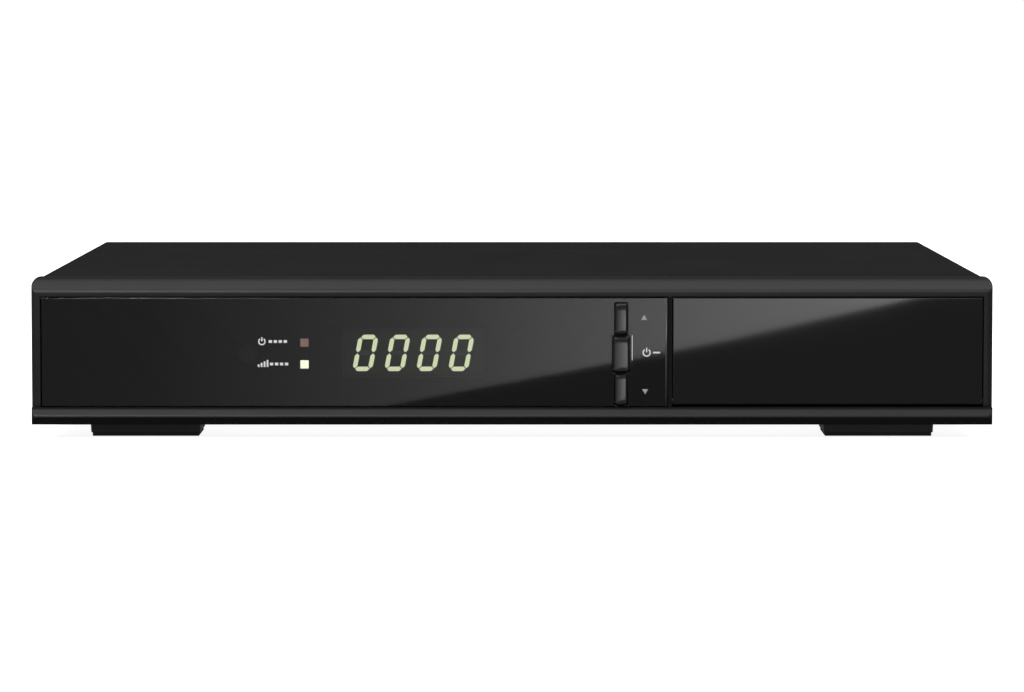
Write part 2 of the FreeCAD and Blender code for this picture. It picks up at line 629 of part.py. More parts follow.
def make_display():
    case = block(middle("digits_x", "display_width"), ("display_front", "display_front + display_depth"),
                 middle("digits_z", "display_height"))
    pins = [block(middle(f"digits_x + {step} * lead_pitch", "2 * lead_radius"),
                  ("display_front + display_depth", "front_board"),
                  middle(f"digits_z + {side} * (display_height / 2 - lead_inset)", "2 * lead_radius"))
            for step in (-2.5, -1.5, -0.5, 0.5, 1.5, 2.5) for side in SIDES]
    node(fused(case, *pins), "display_module")

    body = new_body("segments")
    digit = sketch_on(body, "XZ", "display_front - segment_thick")
    half_stroke = "segment_width / 2"
    half_bar = "(digit_width / 2 - segment_break)"
    half_height = "((digit_height - segment_width) / 2)"
    first = "digits_x - 1.5 * digit_pitch"

    def slanted(points):
        outline(digit, [(f"{first} + {x} + ({z}) * tan(digit_slant)", f"digits_z + {z}") for x, z in points])

    for level in ("-1", "0", "1"):
        mid = f"{level} * {half_height}"
        slanted([(f"-{half_bar}", mid), (f"-{half_bar} + {half_stroke}", f"{mid} - {half_stroke}"),
                 (f"{half_bar} - {half_stroke}", f"{mid} - {half_stroke}"), (half_bar, mid),
                 (f"{half_bar} - {half_stroke}", f"{mid} + {half_stroke}"),
                 (f"-{half_bar} + {half_stroke}", f"{mid} + {half_stroke}")])
    for side in SIDES:
        x = f"{side} * digit_width / 2"
        for half in SIDES:
            ends = (f"{half} * segment_break", f"{half} * ({half_height} - segment_break)")
            low, high = sorted(ends, key=value)
            slanted([(x, low), (f"{x} + {half_stroke}", f"{low} + {half_stroke}"),
                     (f"{x} + {half_stroke}", f"{high} - {half_stroke}"), (x, high),
                     (f"{x} - {half_stroke}", f"{high} - {half_stroke}"),
                     (f"{x} - {half_stroke}", f"{low} + {half_stroke}")])
    repeat(pad(digit, "segment_thick", "+y"), digit, "H_Axis", "digit_pitch", "4")
    node(body, "display_segments")


def make_lamps():
    pipes, chips = [], []
    for side in SIDES:
        z = f"keys_z + {side} * lamp_pitch / 2"
        bar = block(middle("lamps_x", "pipe_side"), ("seat + touch_gap", "front_board - lamp_thick"),
                    middle(z, "pipe_side"))
        collar = block(middle("lamps_x", "2 * pipe_collar"), ("wall_back", "wall_back + pipe_collar_thick"),
                       middle(z, "2 * pipe_collar"))
        pipes.append(fused(bar, collar))
        chips.append(block(middle("lamps_x", "lamp_side"), ("front_board - lamp_thick", "front_board"),
                           middle(z, "lamp_side")))
    node(group(*pipes), "light_pipes")
    node(group(*chips), "status_lamps")

    eye = rod("y", "eye_radius", "eye_reach", "eye_x", "wall_back - eye_reach", "keys_z")
    case = block(middle("eye_x", "eye_case"), ("wall_back", "front_board"), middle("keys_z", "eye_case"))
    node(fused(case, eye), "infrared_receiver")


# ---------------------------------------------------------------- sheet metal case

FEET = [(side, end) for side in SIDES
        for end in ("face + foot_set + foot_length / 2", "rear - foot_set - foot_length / 2")]
SIDE_SCREWS = ("rear - side_screw_back",)
REAR_SCREWS = [f"{side} * rear_screw_x" for side in SIDES]
POSTS = {
    "main": [(x, y) for x in ("main_left + board_inset", "main_right - board_inset")
             for y in ("main_front + board_inset", "rear - main_post_back")],
    "power": [(x, y) for x in ("power_left + board_inset", "power_right - board_inset")
              for y in ("power_front + board_inset", "rear - power_post_back")],
    "card": [("bay_left - card_post_inset", "bay_end + card_post_front"),
             ("bay_left - card_post_inset", "card_board_end - card_post_back"),
             ("bay_right - card_post_inset", "card_board_end - card_post_back")]}


def make_tray():
    """Floor, front flange and side flanges, folded from one sheet."""
    body = new_body("tray")
    half = "inner_half"
    floor = rectangle(sketch_on(body, "XY", "under"), (f"-{half}", half), ("rim", "rear"))
    pad(floor, "sheet", "+z")
    front = rectangle(sketch_on(body, "XZ", "rim"), (f"-{half} + flange_relief", f"{half} - flange_relief"),
                      ("under", "under + flange_height"))
    pad(front, "sheet", "+y")
    for side in SIDES:
        edges = sorted((f"{side} * {half}", f"{side} * ({half} - sheet)"), key=value)
        flange = rectangle(sketch_on(body, "XY", "under"), edges,
                           ("rim + flange_relief", "panel_in - flange_relief"))
        pad(flange, "flange_height", "+z")
    for centre in ("main_left + base_slot_inset", "main_right - base_slot_inset"):
        vents = rectangle(sketch_on(body, "XY", "tray_top"), middle(centre, "base_slot_length"),
                          middle("main_front + base_slot_start", "base_slot_width"))
        repeat(cut(vents, "sheet", "-z"), vents, "V_Axis", "base_slot_pitch", "base_slot_count")
    catches = sketch_on(body, "XZ", "rim")
    for x in HOOKS:
        rectangle(catches, middle(x, "hook_width + hook_play"),
                  ("under + tongue_wall - fit_gap", "under + tongue_wall + hook_thick + hook_barb + fit_gap"))
    cut(catches, "sheet", "+y")
    pegs = sketch_on(body, "XY", "tray_top")
    for side, y in FEET:
        rectangle(pegs, middle(f"{side} * foot_x", "peg_side + 2 * fit_gap"),
                  middle(y, "peg_side + 2 * fit_gap"))
    cut(pegs, "sheet", "-z")
    threads = sketch_on(body, "YZ", f"-{half} - 1")
    for y in SIDE_SCREWS:
        six_sided(threads, y, "under + flange_height / 2", "screw_shank + 2 * touch_gap", upright=True)
    cut(threads, f"2 * {half} + 2", "+x")
    return node(body, "chassis_tray")


def make_rear_panel():
    body = new_body("panel")
    plate = rectangle(sketch_on(body, "XZ", "panel_in"), ("-inner_half + fit_gap", "inner_half - fit_gap"),
                      ("tray_top", "roof - fit_gap"))
    pad(plate, "sheet", "+y")
    foot = rectangle(sketch_on(body, "XY", "tray_top"),
                     ("-inner_half + flange_relief", "inner_half - flange_relief"),
                     ("panel_in - panel_foot", "panel_in"))
    pad(foot, "sheet", "+z")
    holes = sketch_on(body, "XZ", "panel_in")
    for side in SIDES:
        circle(holes, f"tuner_x + {side} * lnb_pitch / 2", "lnb_z", "lnb_radius + fit_gap")
    for step in (-1, 0, 1):
        circle(holes, f"jack_x + {step} * jack_pitch", "sockets_z", "jack_collar + fit_gap")
    for x, width, low, high in (
            ("scart_x", "scart_width", "deck", "deck + scart_height"),
            ("hdmi_x", "hdmi_width", "deck", "deck + hdmi_height"),
            ("lan_x", "lan_width", "deck", "deck + lan_height")):
        rectangle(holes, middle(x, f"{width} + 2 * fit_gap"), (f"{low} - fit_gap", f"{high} + fit_gap"))
    rectangle(holes, middle("inlet_x", "inlet_width + 2 * fit_gap"),
              middle("inlet_z", "inlet_height + 2 * fit_gap"))
    rectangle(holes, middle("rocker_x", "rocker_width + 2 * (rocker_gap + frame_wall + fit_gap)"),
              middle("inlet_z", "2 * (rocker_radius + rocker_gap + frame_wall + fit_gap)"))
    for x in REAR_SCREWS:
        six_sided(holes, x, "crown - cover_drop / 2", "screw_shank + 2 * touch_gap")
    cut(holes, "sheet", "+y")
    return node(body, "rear_panel")


def make_cover():
    """The top cover: a folded U with a down-turned strip behind the rear panel."""
    body = new_body("cover")
    half, hem = "cover_half", "under + hem_gap"
    shell = outline(sketch_on(body, "XZ", "seam"), [
        (f"-{half}", hem), (f"-{half}", "crown"), (half, "crown"), (half, hem), (f"{half} - sheet", hem),
        (f"{half} - sheet", "crown - sheet"), (f"-{half} + sheet", "crown - sheet"),
        (f"-{half} + sheet", hem)])
    pad(shell, "rear + sheet_gap + sheet - seam", "+y")
    soften(body, "Fillet", "sheet_bend", lambda edge: runs_along(edge, 1)
           and abs(edge.BoundBox.ZMax - value("crown")) < 1e-6)
    soften(body, "Fillet", "sheet_bend - sheet", lambda edge: runs_along(edge, 1)
           and abs(edge.BoundBox.ZMax - value("crown - sheet")) < 1e-6)
    strip = rectangle(sketch_on(body, "XZ", "rear + sheet_gap"),
                      (f"-{half} + strip_inset", f"{half} - strip_inset"), ("crown - cover_drop", "crown"))
    pad(strip, "sheet", "+y")
    holes = sketch_on(body, "XZ", "rear + sheet_gap")
    for x in REAR_SCREWS:
        six_sided(holes, x, "crown - cover_drop / 2", "screw_shank + 2 * fit_gap")
    cut(holes, "sheet", "+y")
    sides = sketch_on(body, "YZ", f"-{half} - 1")
    for y in SIDE_SCREWS:
        six_sided(sides, y, "under + flange_height / 2", "screw_shank + 2 * fit_gap", upright=True)
    cut(sides, f"2 * {half} + 2", "+x")
    vents = rectangle(sketch_on(body, "YZ", f"-{half} - 1"),
                      middle("rim + side_slot_start", "side_slot_width"),
                      middle("(under + crown) / 2 + side_slot_lift", "side_slot_height"))
    repeat(cut(vents, f"2 * {half} + 2", "+x"), vents, "H_Axis", "side_slot_pitch", "side_slot_count")
    return node(body, "top_cover")


def make_cover_screws():
    screws = []
    for y in SIDE_SCREWS:
        for side in SIDES:
            z = "under + flange_height / 2"
            head = rod("x", "head_radius", "head_height",
                       "cover_half" if side > 0 else "-cover_half - head_height", y, z)
            shank = hexagon("x", "screw_shank", "screw_length",
                            "cover_half - screw_length" if side > 0 else "-cover_half", y, z)
            screws.append(fused(head, shank))
    for x in REAR_SCREWS:
        z = "crown - cover_drop / 2"
        screws.append(fused(rod("y", "head_radius", "head_height", x, "rear + sheet_gap + sheet", z),
                            hexagon("y", "screw_shank", "screw_length", x,
                                    "rear + sheet_gap + sheet - screw_length", z)))
    node(group(*screws), "cover_screws")


def make_feet():
    feet, pads = [], []
    for side, y in FEET:
        x = f"{side} * foot_x"
        body = new_body("foot")
        top = rectangle(sketch_on(body, "XY", "under"), middle(x, "foot_width"), middle(y, "foot_length"))
        bulk = pad(top, "leg_height - foot_pad", "-z")
        bulk.setExpression("TaperAngle", formula("-foot_taper"))
        peg = rectangle(sketch_on(body, "XY", "under"), middle(x, "peg_side"), middle(y, "peg_side"))
        pad(peg, "peg_height", "+z")
        feet.append(body)
        pads.append(block(middle(x, "foot_width - 2 * pad_inset"), middle(y, "foot_length - 2 * pad_inset"),
                          ("0", "foot_pad")))
    node(group(*feet), "feet")
    node(group(*pads), "foot_pads")


# ---------------------------------------------------------------- boards

def make_boards():
    """Each board stands on hexagonal posts, under hexagonal screws whose shanks pass the board."""
    posts, screws = [], []
    boards = {"main": ("board_z", ("main_left", "main_right"), ("main_front", "main_back")),
              "power": ("board_z", ("power_left", "power_right"), ("power_front", "power_back")),
              "card": ("card_board", ("bay_left - card_board_left", "bay_right + card_board_right"),
                       ("bay_end", "card_board_end"))}
    for name, (low, *extent) in boards.items():
        spots = POSTS[name]
        top = f"{low} + board_thick"
        holes = [hexagon("z", "screw_shank + 2 * fit_gap", "board_thick", x, y, low) for x, y in spots]
        node(without(block(*extent, (low, top)), *holes), name + "_board")
        for x, y in spots:
            posts.append(hexagon("z", "post_across", f"{low} - tray_top", x, y, "tray_top"))
            screws.append(fused(hexagon("z", "board_screw_across", "head_height", x, y, top),
                                hexagon("z", "screw_shank", "board_thick", x, y, low)))
    node(group(*posts), "board_standoffs")
    node(group(*screws), "board_screws")
    edge = "(board_inset + post_across)"
    level = ("tray_top", "tray_top + foil_thick")
    foil = block((f"power_left + {edge}", f"power_right - {edge}"),
                 ("power_front + foil_inset", "power_back - foil_inset"), level)
    notch = "peg_side + 4 * fit_gap"
    pegs = [block(middle(f"{side} * foot_x", notch), middle(y, notch), level)
            for side, y in FEET if side > 0 and y.startswith("rear")]
    node(without(foil, *pegs), "insulating_sheet")


# ---------------------------------------------------------------- sockets on the rear panel

def revolve(sketch, axis):
    body = sketch.getParentGeoFeatureGroup()
    turned = body.newObject("PartDesign::Revolution", body.Name + "_revolution")
    turned.Profile = sketch
    turned.ReferenceAxis = (sketch, [axis])
    turned.Angle = 360
    return turned


def make_tuner():
    can = block(middle("tuner_x", "tuner_width"), ("panel_in - tuner_depth", "panel_in"),
                ("deck", "deck + tuner_height - lid_height / 2"))
    lid = block(middle("tuner_x", "tuner_width + 2 * lid_lap"),
                ("panel_in - tuner_depth - lid_lap", "panel_in"),
                ("deck + tuner_height - lid_height", "deck + tuner_height"))
    node(fused(can, lid), "tuner_can")
    end, mouth = "rear + lnb_reach", "rear + lnb_reach - lnb_bore_depth"
    root = "rear + nut_thick + root_relief"
    barrels, nuts, cores = [], [], []
    for side in SIDES:
        x = f"tuner_x + {side} * lnb_pitch / 2"
        body = new_body("barrel")
        profile = outline(sketch_on(body, "YZ", x, shift=("0", "lnb_z")), [
            ("panel_in", "0"), ("panel_in", "lnb_radius - root_step"), (root, "lnb_radius - root_step"),
            (root, "lnb_radius"), (end, "lnb_radius"), (end, "lnb_bore"), (mouth, "lnb_bore"), (mouth, "0")])
        revolve(profile, "H_Axis")
        barrels.append(body)
        nuts.append(without(hexagon("y", "nut_across", "nut_thick", x, "rear", "lnb_z"),
                            rod("y", "lnb_radius - root_step + touch_gap", "nut_thick", x, "rear", "lnb_z")))
        cores.append(rod("y", "lnb_bore - touch_gap", "lnb_bore_depth - core_set", x, mouth, "lnb_z"))
    node(group(*barrels), "lnb_barrels")
    node(group(*nuts), "lnb_nuts")
    return cores


def make_scart():
    """The body, the moat round its tongue with one slanted corner, and two rows of contact slots."""
    body = new_body("scart")
    front = "rear + scart_proud"
    centre = "deck + scart_height / 2"
    case = rectangle(sketch_on(body, "XZ", front), middle("scart_x", "scart_width"),
                     ("deck", "deck + scart_height"))
    pad(case, "scart_depth", "-y")
    moat = sketch_on(body, "XZ", front)
    for width, height in (("scart_moat_width", "scart_moat_height"),
                          ("scart_tongue_width", "scart_tongue_height")):
        left, right = middle("scart_x", width)
        low, high = middle(centre, height)
        outline(moat, [(left, low), (f"{left} + scart_slant", high), (right, high), (right, low)])
    cut(moat, "scart_moat_depth", "-y")
    for row in SIDES:
        start = f"scart_x - ((blade_count - 1) / 2 + {row} / 4) * blade_pitch"
        blade = rectangle(sketch_on(body, "XZ", front), middle(start, "blade_width"),
                          middle(f"{centre} + {row} * blade_row", "blade_height"))
        repeat(cut(blade, "blade_depth", "-y"), blade, "H_Axis", "blade_pitch", "blade_count")
    return node(body, "scart_socket")


def make_jacks(cores):
    """Three phono jacks on one block; cores are the barrels' insulators, which share the jacks' node."""
    node(block(middle("jack_x", "3 * jack_pitch"), ("panel_in - jack_block_depth", "panel_in"),
               ("deck", "sockets_z + jack_pitch / 2")), "jack_block")
    names = {-1: "video_jack_collar", 0: "left_audio_jack_collar", 1: "right_audio_jack_collar"}
    shells = []
    for step, name in names.items():
        x = f"jack_x + {step} * jack_pitch"
        length = "sheet + jack_reach"
        depth = "sheet + jack_collar_reach"
        root = f"{depth} + root_relief"
        hole = rod("y", "jack_radius - root_step + touch_gap", depth, x, "panel_in", "sockets_z")
        node(without(rod("y", "jack_collar", depth, x, "panel_in", "sockets_z"), hole), name)
        stem = rod("y", "jack_radius - root_step", root, x, "panel_in", "sockets_z")
        sleeve = rod("y", "jack_radius", f"{length} - ({root})", x, f"panel_in + {root}", "sockets_z")
        bore = rod("y", "jack_bore", length, x, "panel_in", "sockets_z")
        shells.append(without(fused(stem, sleeve), bore))
        core = rod("y", "jack_bore - touch_gap", f"{length} - core_set", x, "panel_in", "sockets_z")
        well = hexagon("y", "jack_bore", f"{length} - 2 * core_set", x, "panel_in + core_set", "sockets_z")
        cores.append(without(core, well))
    node(group(*shells), "jack_shells")
    node(group(*cores), "socket_insulators")


def make_data_sockets():
    out = "rear + socket_proud"
    past = f"{out} + 1"
    inner = f"{out} - hdmi_depth"
    shell = block(middle("hdmi_x", "hdmi_width"), (inner, out), ("deck", "deck + hdmi_height"))
    mouth = block(middle("hdmi_x", "hdmi_width - 2 * hdmi_wall"), (f"{inner} + 2 * hdmi_wall", past),
                  ("deck + hdmi_wall", "deck + hdmi_height - hdmi_wall"))
    tongue = block(middle("hdmi_x", "hdmi_tongue_width"), (f"{inner} + hdmi_wall", f"{out} - 2 * hdmi_wall"),
                   middle("deck + hdmi_tongue_rise", "hdmi_tongue_thick"))
    node(fused(without(shell, mouth), tongue), "hdmi_socket")

    floor = "deck + lan_mouth_rise"
    shell = block(middle("lan_x", "lan_width"), (f"{out} - lan_depth", out), ("deck", "deck + lan_height"))
    mouth = block(middle("lan_x", "lan_mouth_width"), (f"{out} - lan_mouth_depth", past),
                  (floor, f"{floor} + lan_mouth_height"))
    latch = block(middle("lan_x", "lan_mouth_width / 2"), (f"{out} - lan_mouth_depth / 2", past),
                  ("deck + lan_latch_rise", f"{floor} + touch_gap"))
    node(without(shell, mouth, latch), "ethernet_jack")


def make_mains():
    body = new_body("inlet")
    case = rectangle(sketch_on(body, "XZ", "rear"), middle("inlet_x", "inlet_width"),
                     middle("inlet_z", "inlet_height"))
    pad(case, "inlet_depth", "-y")
    brim = rectangle(sketch_on(body, "XZ", "rear"), middle("inlet_x", "inlet_width + 2 * flange_lip"),
                     middle("inlet_z", "inlet_height + 2 * flange_lip"))
    pad(brim, "flange_lip", "+y")
    radius = "inlet_mouth_height / 2"
    mouth = slot(sketch_on(body, "XZ", "rear + flange_lip"),
                 middle("inlet_x", "inlet_mouth_width - inlet_mouth_height"), "inlet_z", radius)
    cut(mouth, "inlet_mouth_depth", "-y")
    node(body, "mains_inlet")
    pins = [rod("y", "inlet_pin_radius", "inlet_mouth_depth - inlet_pin_set",
                f"inlet_x + {side} * inlet_pin_pitch / 2", "rear + flange_lip - inlet_mouth_depth", "inlet_z")
            for side in SIDES]
    node(group(*pins), "inlet_pins")

    half_x, half_z = "rocker_width / 2 + rocker_gap", "rocker_radius + rocker_gap"
    body = new_body("frame")
    case = rectangle(sketch_on(body, "XZ", "rear"), middle("rocker_x", f"2 * ({half_x} + frame_wall)"),
                     middle("inlet_z", f"2 * ({half_z} + frame_wall)"))
    pad(case, "frame_depth", "-y")
    brim = rectangle(sketch_on(body, "XZ", "rear"),
                     middle("rocker_x", f"2 * ({half_x} + frame_wall + flange_lip)"),
                     middle("inlet_z", f"2 * ({half_z} + frame_wall + flange_lip)"))
    pad(brim, "flange_lip", "+y")
    soften(body, "Chamfer", "flange_lip / 2",
           lambda edge: edge.BoundBox.YMin > value("rear + flange_lip") - 1e-6)
    mouth = rectangle(sketch_on(body, "XZ", "rear + flange_lip"), middle("rocker_x", f"2 * ({half_x})"),
                      middle("inlet_z", f"2 * ({half_z})"))
    cut(mouth, "flange_lip + rocker_set + rocker_well", "-y")
    pivot = circle(sketch_on(body, "YZ", f"rocker_x - ({half_x}) - pivot_radius - 2 * pin_play"),
                   "rear - rocker_set", "inlet_z", "pivot_radius + pin_play")
    cut(pivot, f"2 * ({half_x} + pivot_radius + 2 * pin_play)", "+x")
    node(body, "rocker_frame")

    body = new_body("rocker")
    disc = circle(sketch_on(body, "YZ"), "0", "0", "rocker_radius")
    pad(disc, "rocker_width", "both")
    rise = "rocker_face + 2 * rocker_radius * tan(rocker_tilt)"
    above = outline(sketch_on(body, "YZ"), [
        ("rocker_face", "0"), (rise, "2 * rocker_radius"), ("4 * rocker_radius", "2 * rocker_radius"),
        ("4 * rocker_radius", "-2 * rocker_radius"), (rise, "-2 * rocker_radius")])
    cut(above, "rocker_width", "both")
    below = rectangle(sketch_on(body, "YZ"), ("-2 * rocker_radius", "-rocker_face"),
                      ("-2 * rocker_radius", "2 * rocker_radius"))
    cut(below, "rocker_width", "both")
    pivot = circle(sketch_on(body, "YZ"), "0", "0", "pivot_radius")
    pad(pivot, f"2 * ({half_x} + pivot_radius)", "both")
    body.Placement = FreeCAD.Placement(V(), FreeCAD.Rotation(V(1, 0, 0), -SIZES["rocker_tilt"]))
    bind(body, "Placement.Rotation.Angle", "-rocker_tilt")
    for letter, text in zip("xyz", ("rocker_x", "rear - rocker_set", "inlet_z")):
        bind(body, "Placement.Base." + letter, text)
    node(body, "power_rocker")


# ---------------------------------------------------------------- card reader

def make_card_bay():
    front = "bay_end + touch_gap"
    left = "bay_left + reader_inset"
    case = block((left, f"{left} + reader_width"), (front, f"{front} + reader_depth"),
                 ("card_deck", "card_deck + reader_height"))
    mouth = block(middle(f"{left} + reader_width / 2", "card_slot_width"),
                  (f"{front} - 1", f"{front} + reader_depth - slot_floor"),
                  middle("card_deck + reader_height / 2", "card_slot_height"))
    node(without(case, mouth), "card_reader")

    high = "bay_right - usb_inset"
    low = f"{high} - usb_width"
    shell = block((low, high), (front, f"{front} + usb_depth"), ("card_deck", "card_deck + usb_height"))
    mouth = block((f"{low} + usb_wall", f"{high} - usb_wall"),
                  (f"{front} - 1", f"{front} + usb_depth - usb_floor"),
                  ("card_deck + usb_wall", "card_deck + usb_height - usb_wall"))
    tongue = block((f"{high} - usb_wall - usb_tongue", f"{high} - usb_wall + touch_gap"),
                   (f"{front} + usb_tongue_inset", f"{front} + usb_depth - usb_wall"),
                   ("card_deck + usb_tongue_inset", "card_deck + usb_height - usb_tongue_inset"))
    node(fused(without(shell, mouth), tongue), "front_usb_socket")


# ---------------------------------------------------------------- parts on the boards

def make_main_parts():
    x, y = "main_left + chip_in", "main_front + chip_back"
    node(block(middle(x, "chip_side"), middle(y, "chip_side"), ("deck", "deck + chip_thick")), "processor")
    body = new_body("sink")
    base = "deck + chip_thick"
    plate = rectangle(sketch_on(body, "XY", base), middle(x, "sink_side"), middle(y, "sink_side"))
    pad(plate, "sink_base", "+z")
    fin = rectangle(sketch_on(body, "XY", f"{base} + sink_base"),
                    (f"{x} - sink_side / 2", f"{x} - sink_side / 2 + fin_thick"), middle(y, "sink_side"))
    repeat(pad(fin, "fin_height", "+z"), fin, "H_Axis", "(sink_side - fin_thick) / (fin_count - 1)",
           "fin_count")
    node(body, "heat_sink")
    memory_x = f"{x} + sink_side / 2 + memory_gap"
    level = ("deck", "deck + memory_thick")
    pair = [block((memory_x, f"{memory_x} + memory_width"),
                  middle(f"{y} + {side} * (memory_length + memory_gap) / 2", "memory_length"), level)
            for side in SIDES]
    flash = block(middle("main_left + flash_in", "2 * memory_width"),
                  middle(f"{y} + memory_length", "memory_length"), level)
    node(group(*pair, flash), "memory_chips")
    return [rod("z", "small_can_radius", "small_can_height", f"{x} + sink_side / 2 + {i} * small_can_pitch",
                f"{y} - sink_side / 2 - small_can_pitch / 2", "deck") for i in (1, 3)]


def make_power_parts(cans):
    sink_x, sink_y = "power_left + plate_sink_in", "power_front + plate_sink_back"
    fins = f"{sink_x} + plate_sink_thick"
    body = new_body("plate_sink")
    plate = rectangle(sketch_on(body, "XY", "deck"), (sink_x, fins),
                      (sink_y, f"{sink_y} + plate_sink_length"))
    pad(plate, "plate_sink_height", "+z")
    fin = rectangle(sketch_on(body, "XY", "deck"), (fins, f"{fins} + plate_fin_reach"),
                    (sink_y, f"{sink_y} + fin_thick"))
    repeat(pad(fin, "plate_sink_height", "+z"), fin, "V_Axis",
           "(plate_sink_length - fin_thick) / (plate_fin_count - 1)", "plate_fin_count")
    node(body, "power_heat_sink")
    bulk_x, bulk_y = "power_left + bulk_in", "power_front + bulk_back"
    node(rod("z", "bulk_radius", "bulk_height", bulk_x, bulk_y, "deck"), "bulk_capacitor")
    cans += [rod("z", "small_can_radius", "tall_can_height", f"{bulk_x} - bulk_radius - can_gap",
                 f"{bulk_y} + {i} * small_can_pitch", "deck") for i in (-1, 0)]
    node(group(*cans), "small_capacitors")

    x, y = bulk_x, "power_front + core_back"
    leg, window = "core_leg", "core_window"
    low, high = "deck + core_plate", "deck + core_height - core_plate"
    core = block(middle(x, "core_width"), middle(y, "core_depth"), ("deck", "deck + core_height"))
    windows = [block(sorted((f"{x} + {side} * {leg}", f"{x} + {side} * {window}"), key=value),
                     middle(y, "core_depth + 2"), (low, high)) for side in SIDES]
    node(without(core, *windows), "transformer_core")
    coil = block(middle(x, f"2 * {window} - 2 * fit_gap"), middle(y, "winding_depth"),
                 (f"{low} + fit_gap", f"{high} - fit_gap"))
    hole = block(middle(x, f"2 * {leg} + 2 * fit_gap"), middle(y, "core_depth + 2 * fit_gap"),
                 ("deck", "deck + core_height"))
    node(without(coil, hole), "transformer_winding")

    # the choke: two coils on the long legs of a closed core
    choke_x, choke_y = f"{x} + choke_side / 4", "power_front + choke_back"
    level = "deck + choke_height / 2"
    core = block(middle(choke_x, "choke_side"), middle(choke_y, "choke_side"), middle(level, "choke_bar"))
    inside = "choke_side - 2 * choke_bar"
    eye = block(middle(choke_x, inside), middle(choke_y, inside), middle(level, "2 * choke_bar"))
    coils = [block(middle(f"{choke_x} + {side} * (choke_side - choke_bar) / 2", "coil_across"),
                   middle(choke_y, "choke_side - 2 * coil_short"), ("deck", "deck + choke_height"))
             for side in SIDES]
    node(fused(without(core, eye), *coils), "line_filter")

    fuse_x, fuse_y, fuse_z = "power_left + fuse_in", choke_y, "deck + fuse_lift + fuse_radius"
    clips = [block((f"{fuse_x} + {low}", f"{fuse_x} + {low} + clip_width"),
                   middle(fuse_y, "2 * (fuse_radius + fit_gap)"),
                   ("deck", f"{fuse_z} + fuse_radius + fit_gap"))
             for low in ("0", "fuse_length - clip_width")]
    glass = rod("x", "fuse_radius", "fuse_length - 2 * clip_width", f"{fuse_x} + clip_width", fuse_y, fuse_z)
    node(fused(glass, *clips), "fuse")


def make_wiring():
    """Two flat cables, each between a pair of plugs: the supply leads and the front board's ribbon."""
    top = "deck + header_height"
    lead_y = "power_front + lead_back"
    ends = ("main_right - lead_in", "power_left + lead_in")
    plugs = [block(middle(x, "plug_depth"), middle(lead_y, "lead_width + 2 * lead_plug_side"), ("deck", top))
             for x in ends]
    body = new_body("harness")
    left, right = (f"{ends[0]} - lead_thick / 2", f"{ends[1]} + lead_thick / 2")
    crest = f"{top} + lead_rise"
    bend, inner = "lead_bend", "(lead_bend + lead_thick / 2)"
    arch = outline(sketch_on(body, "XZ", f"{lead_y} + lead_width / 2"), [
        (left, top), (left, f"{crest} - {bend}"), (f"{left} + {bend}", crest), (f"{right} - {bend}", crest),
        (right, f"{crest} - {bend}"), (right, top), (f"{right} - lead_thick", top),
        (f"{right} - lead_thick", f"{crest} - {inner}"), (f"{right} - {inner}", f"{crest} - lead_thick"),
        (f"{left} + {inner}", f"{crest} - lead_thick"), (f"{left} + lead_thick", f"{crest} - {inner}"),
        (f"{left} + lead_thick", top)])
    pad(arch, "lead_width", "-y")
    node(body, "power_harness")

    x, z = "main_left + ribbon_in", "tray_top + ribbon_rise"
    start, end = "front_board + board_thick + header_height", "main_front + ribbon_lap"
    across = middle(x, "ribbon_width + 2 * ribbon_plug_side")
    plugs += [block(across, ("front_board + board_thick", start), middle(z, "plug_thick")),
              block(across, (end, f"{end} + plug_depth"), ("deck", top))]
    node(group(*plugs), "wire_plugs")
    low = f"({top} - plug_thick / 2)"
    body = new_body("ribbon")
    band = outline(sketch_on(body, "YZ", x), [
        (start, z), (f"{start} + ribbon_run", z), ("main_front - ribbon_run", low), (end, low),
        (end, f"{low} + ribbon_thick"), ("main_front - ribbon_run", f"{low} + ribbon_thick"),
        (f"{start} + ribbon_run", f"{z} + ribbon_thick"), (start, f"{z} + ribbon_thick")])
    pad(band, "ribbon_width", "both")
    node(body, "front_ribbon")


# ---------------------------------------------------------------- the whole set

make_bezel()
make_window()
make_door()
for key, (step, width, height) in KEYS.items():
    make_key(key, step, width, height)
make_switches()
make_front_board()
make_display()
make_lamps()
make_tray()
make_rear_panel()
make_cover()
make_cover_screws()
make_feet()
make_boards()
make_scart()
make_jacks(make_tuner())
make_data_sockets()
make_mains()
make_card_bay()
make_power_parts(make_main_parts())
make_wiring()
doc.recompute()

for thing in doc.Objects:
    if {"Invalid", "Error"} & set(thing.State):
        raise RuntimeError(f"{thing.Name} ({thing.Label}): {thing.getStatusString()}")
for part in nodes:
    if part.Shape.isNull() or not part.Shape.isValid():
        raise RuntimeError(f"{part.Label} has no valid shape")

os.makedirs("parts", exist_ok=True)
for part in nodes:
    part.Shape.exportStep(f"parts/{part.Label}.step")
    print(f"{part.Label:26} {len(part.Shape.Solids):3} solids  {part.Shape.Volume:10.1f} mm3")
print(len(nodes), "nodes")
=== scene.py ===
# %% [markdown]
# # A satellite receiver, dressed
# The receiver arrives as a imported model: every moulding, board and socket is a node of its own and
# already has its true size and place. This script never moves those nodes. It gives each one a
# finish, and swaps a few small ones for finer shapes. Loading comes first, because everything
# else is placed from the sizes that the frame reports.

# %% Load the frame
import json
import math

import bmesh
import bpy
from mathutils import Matrix, Vector


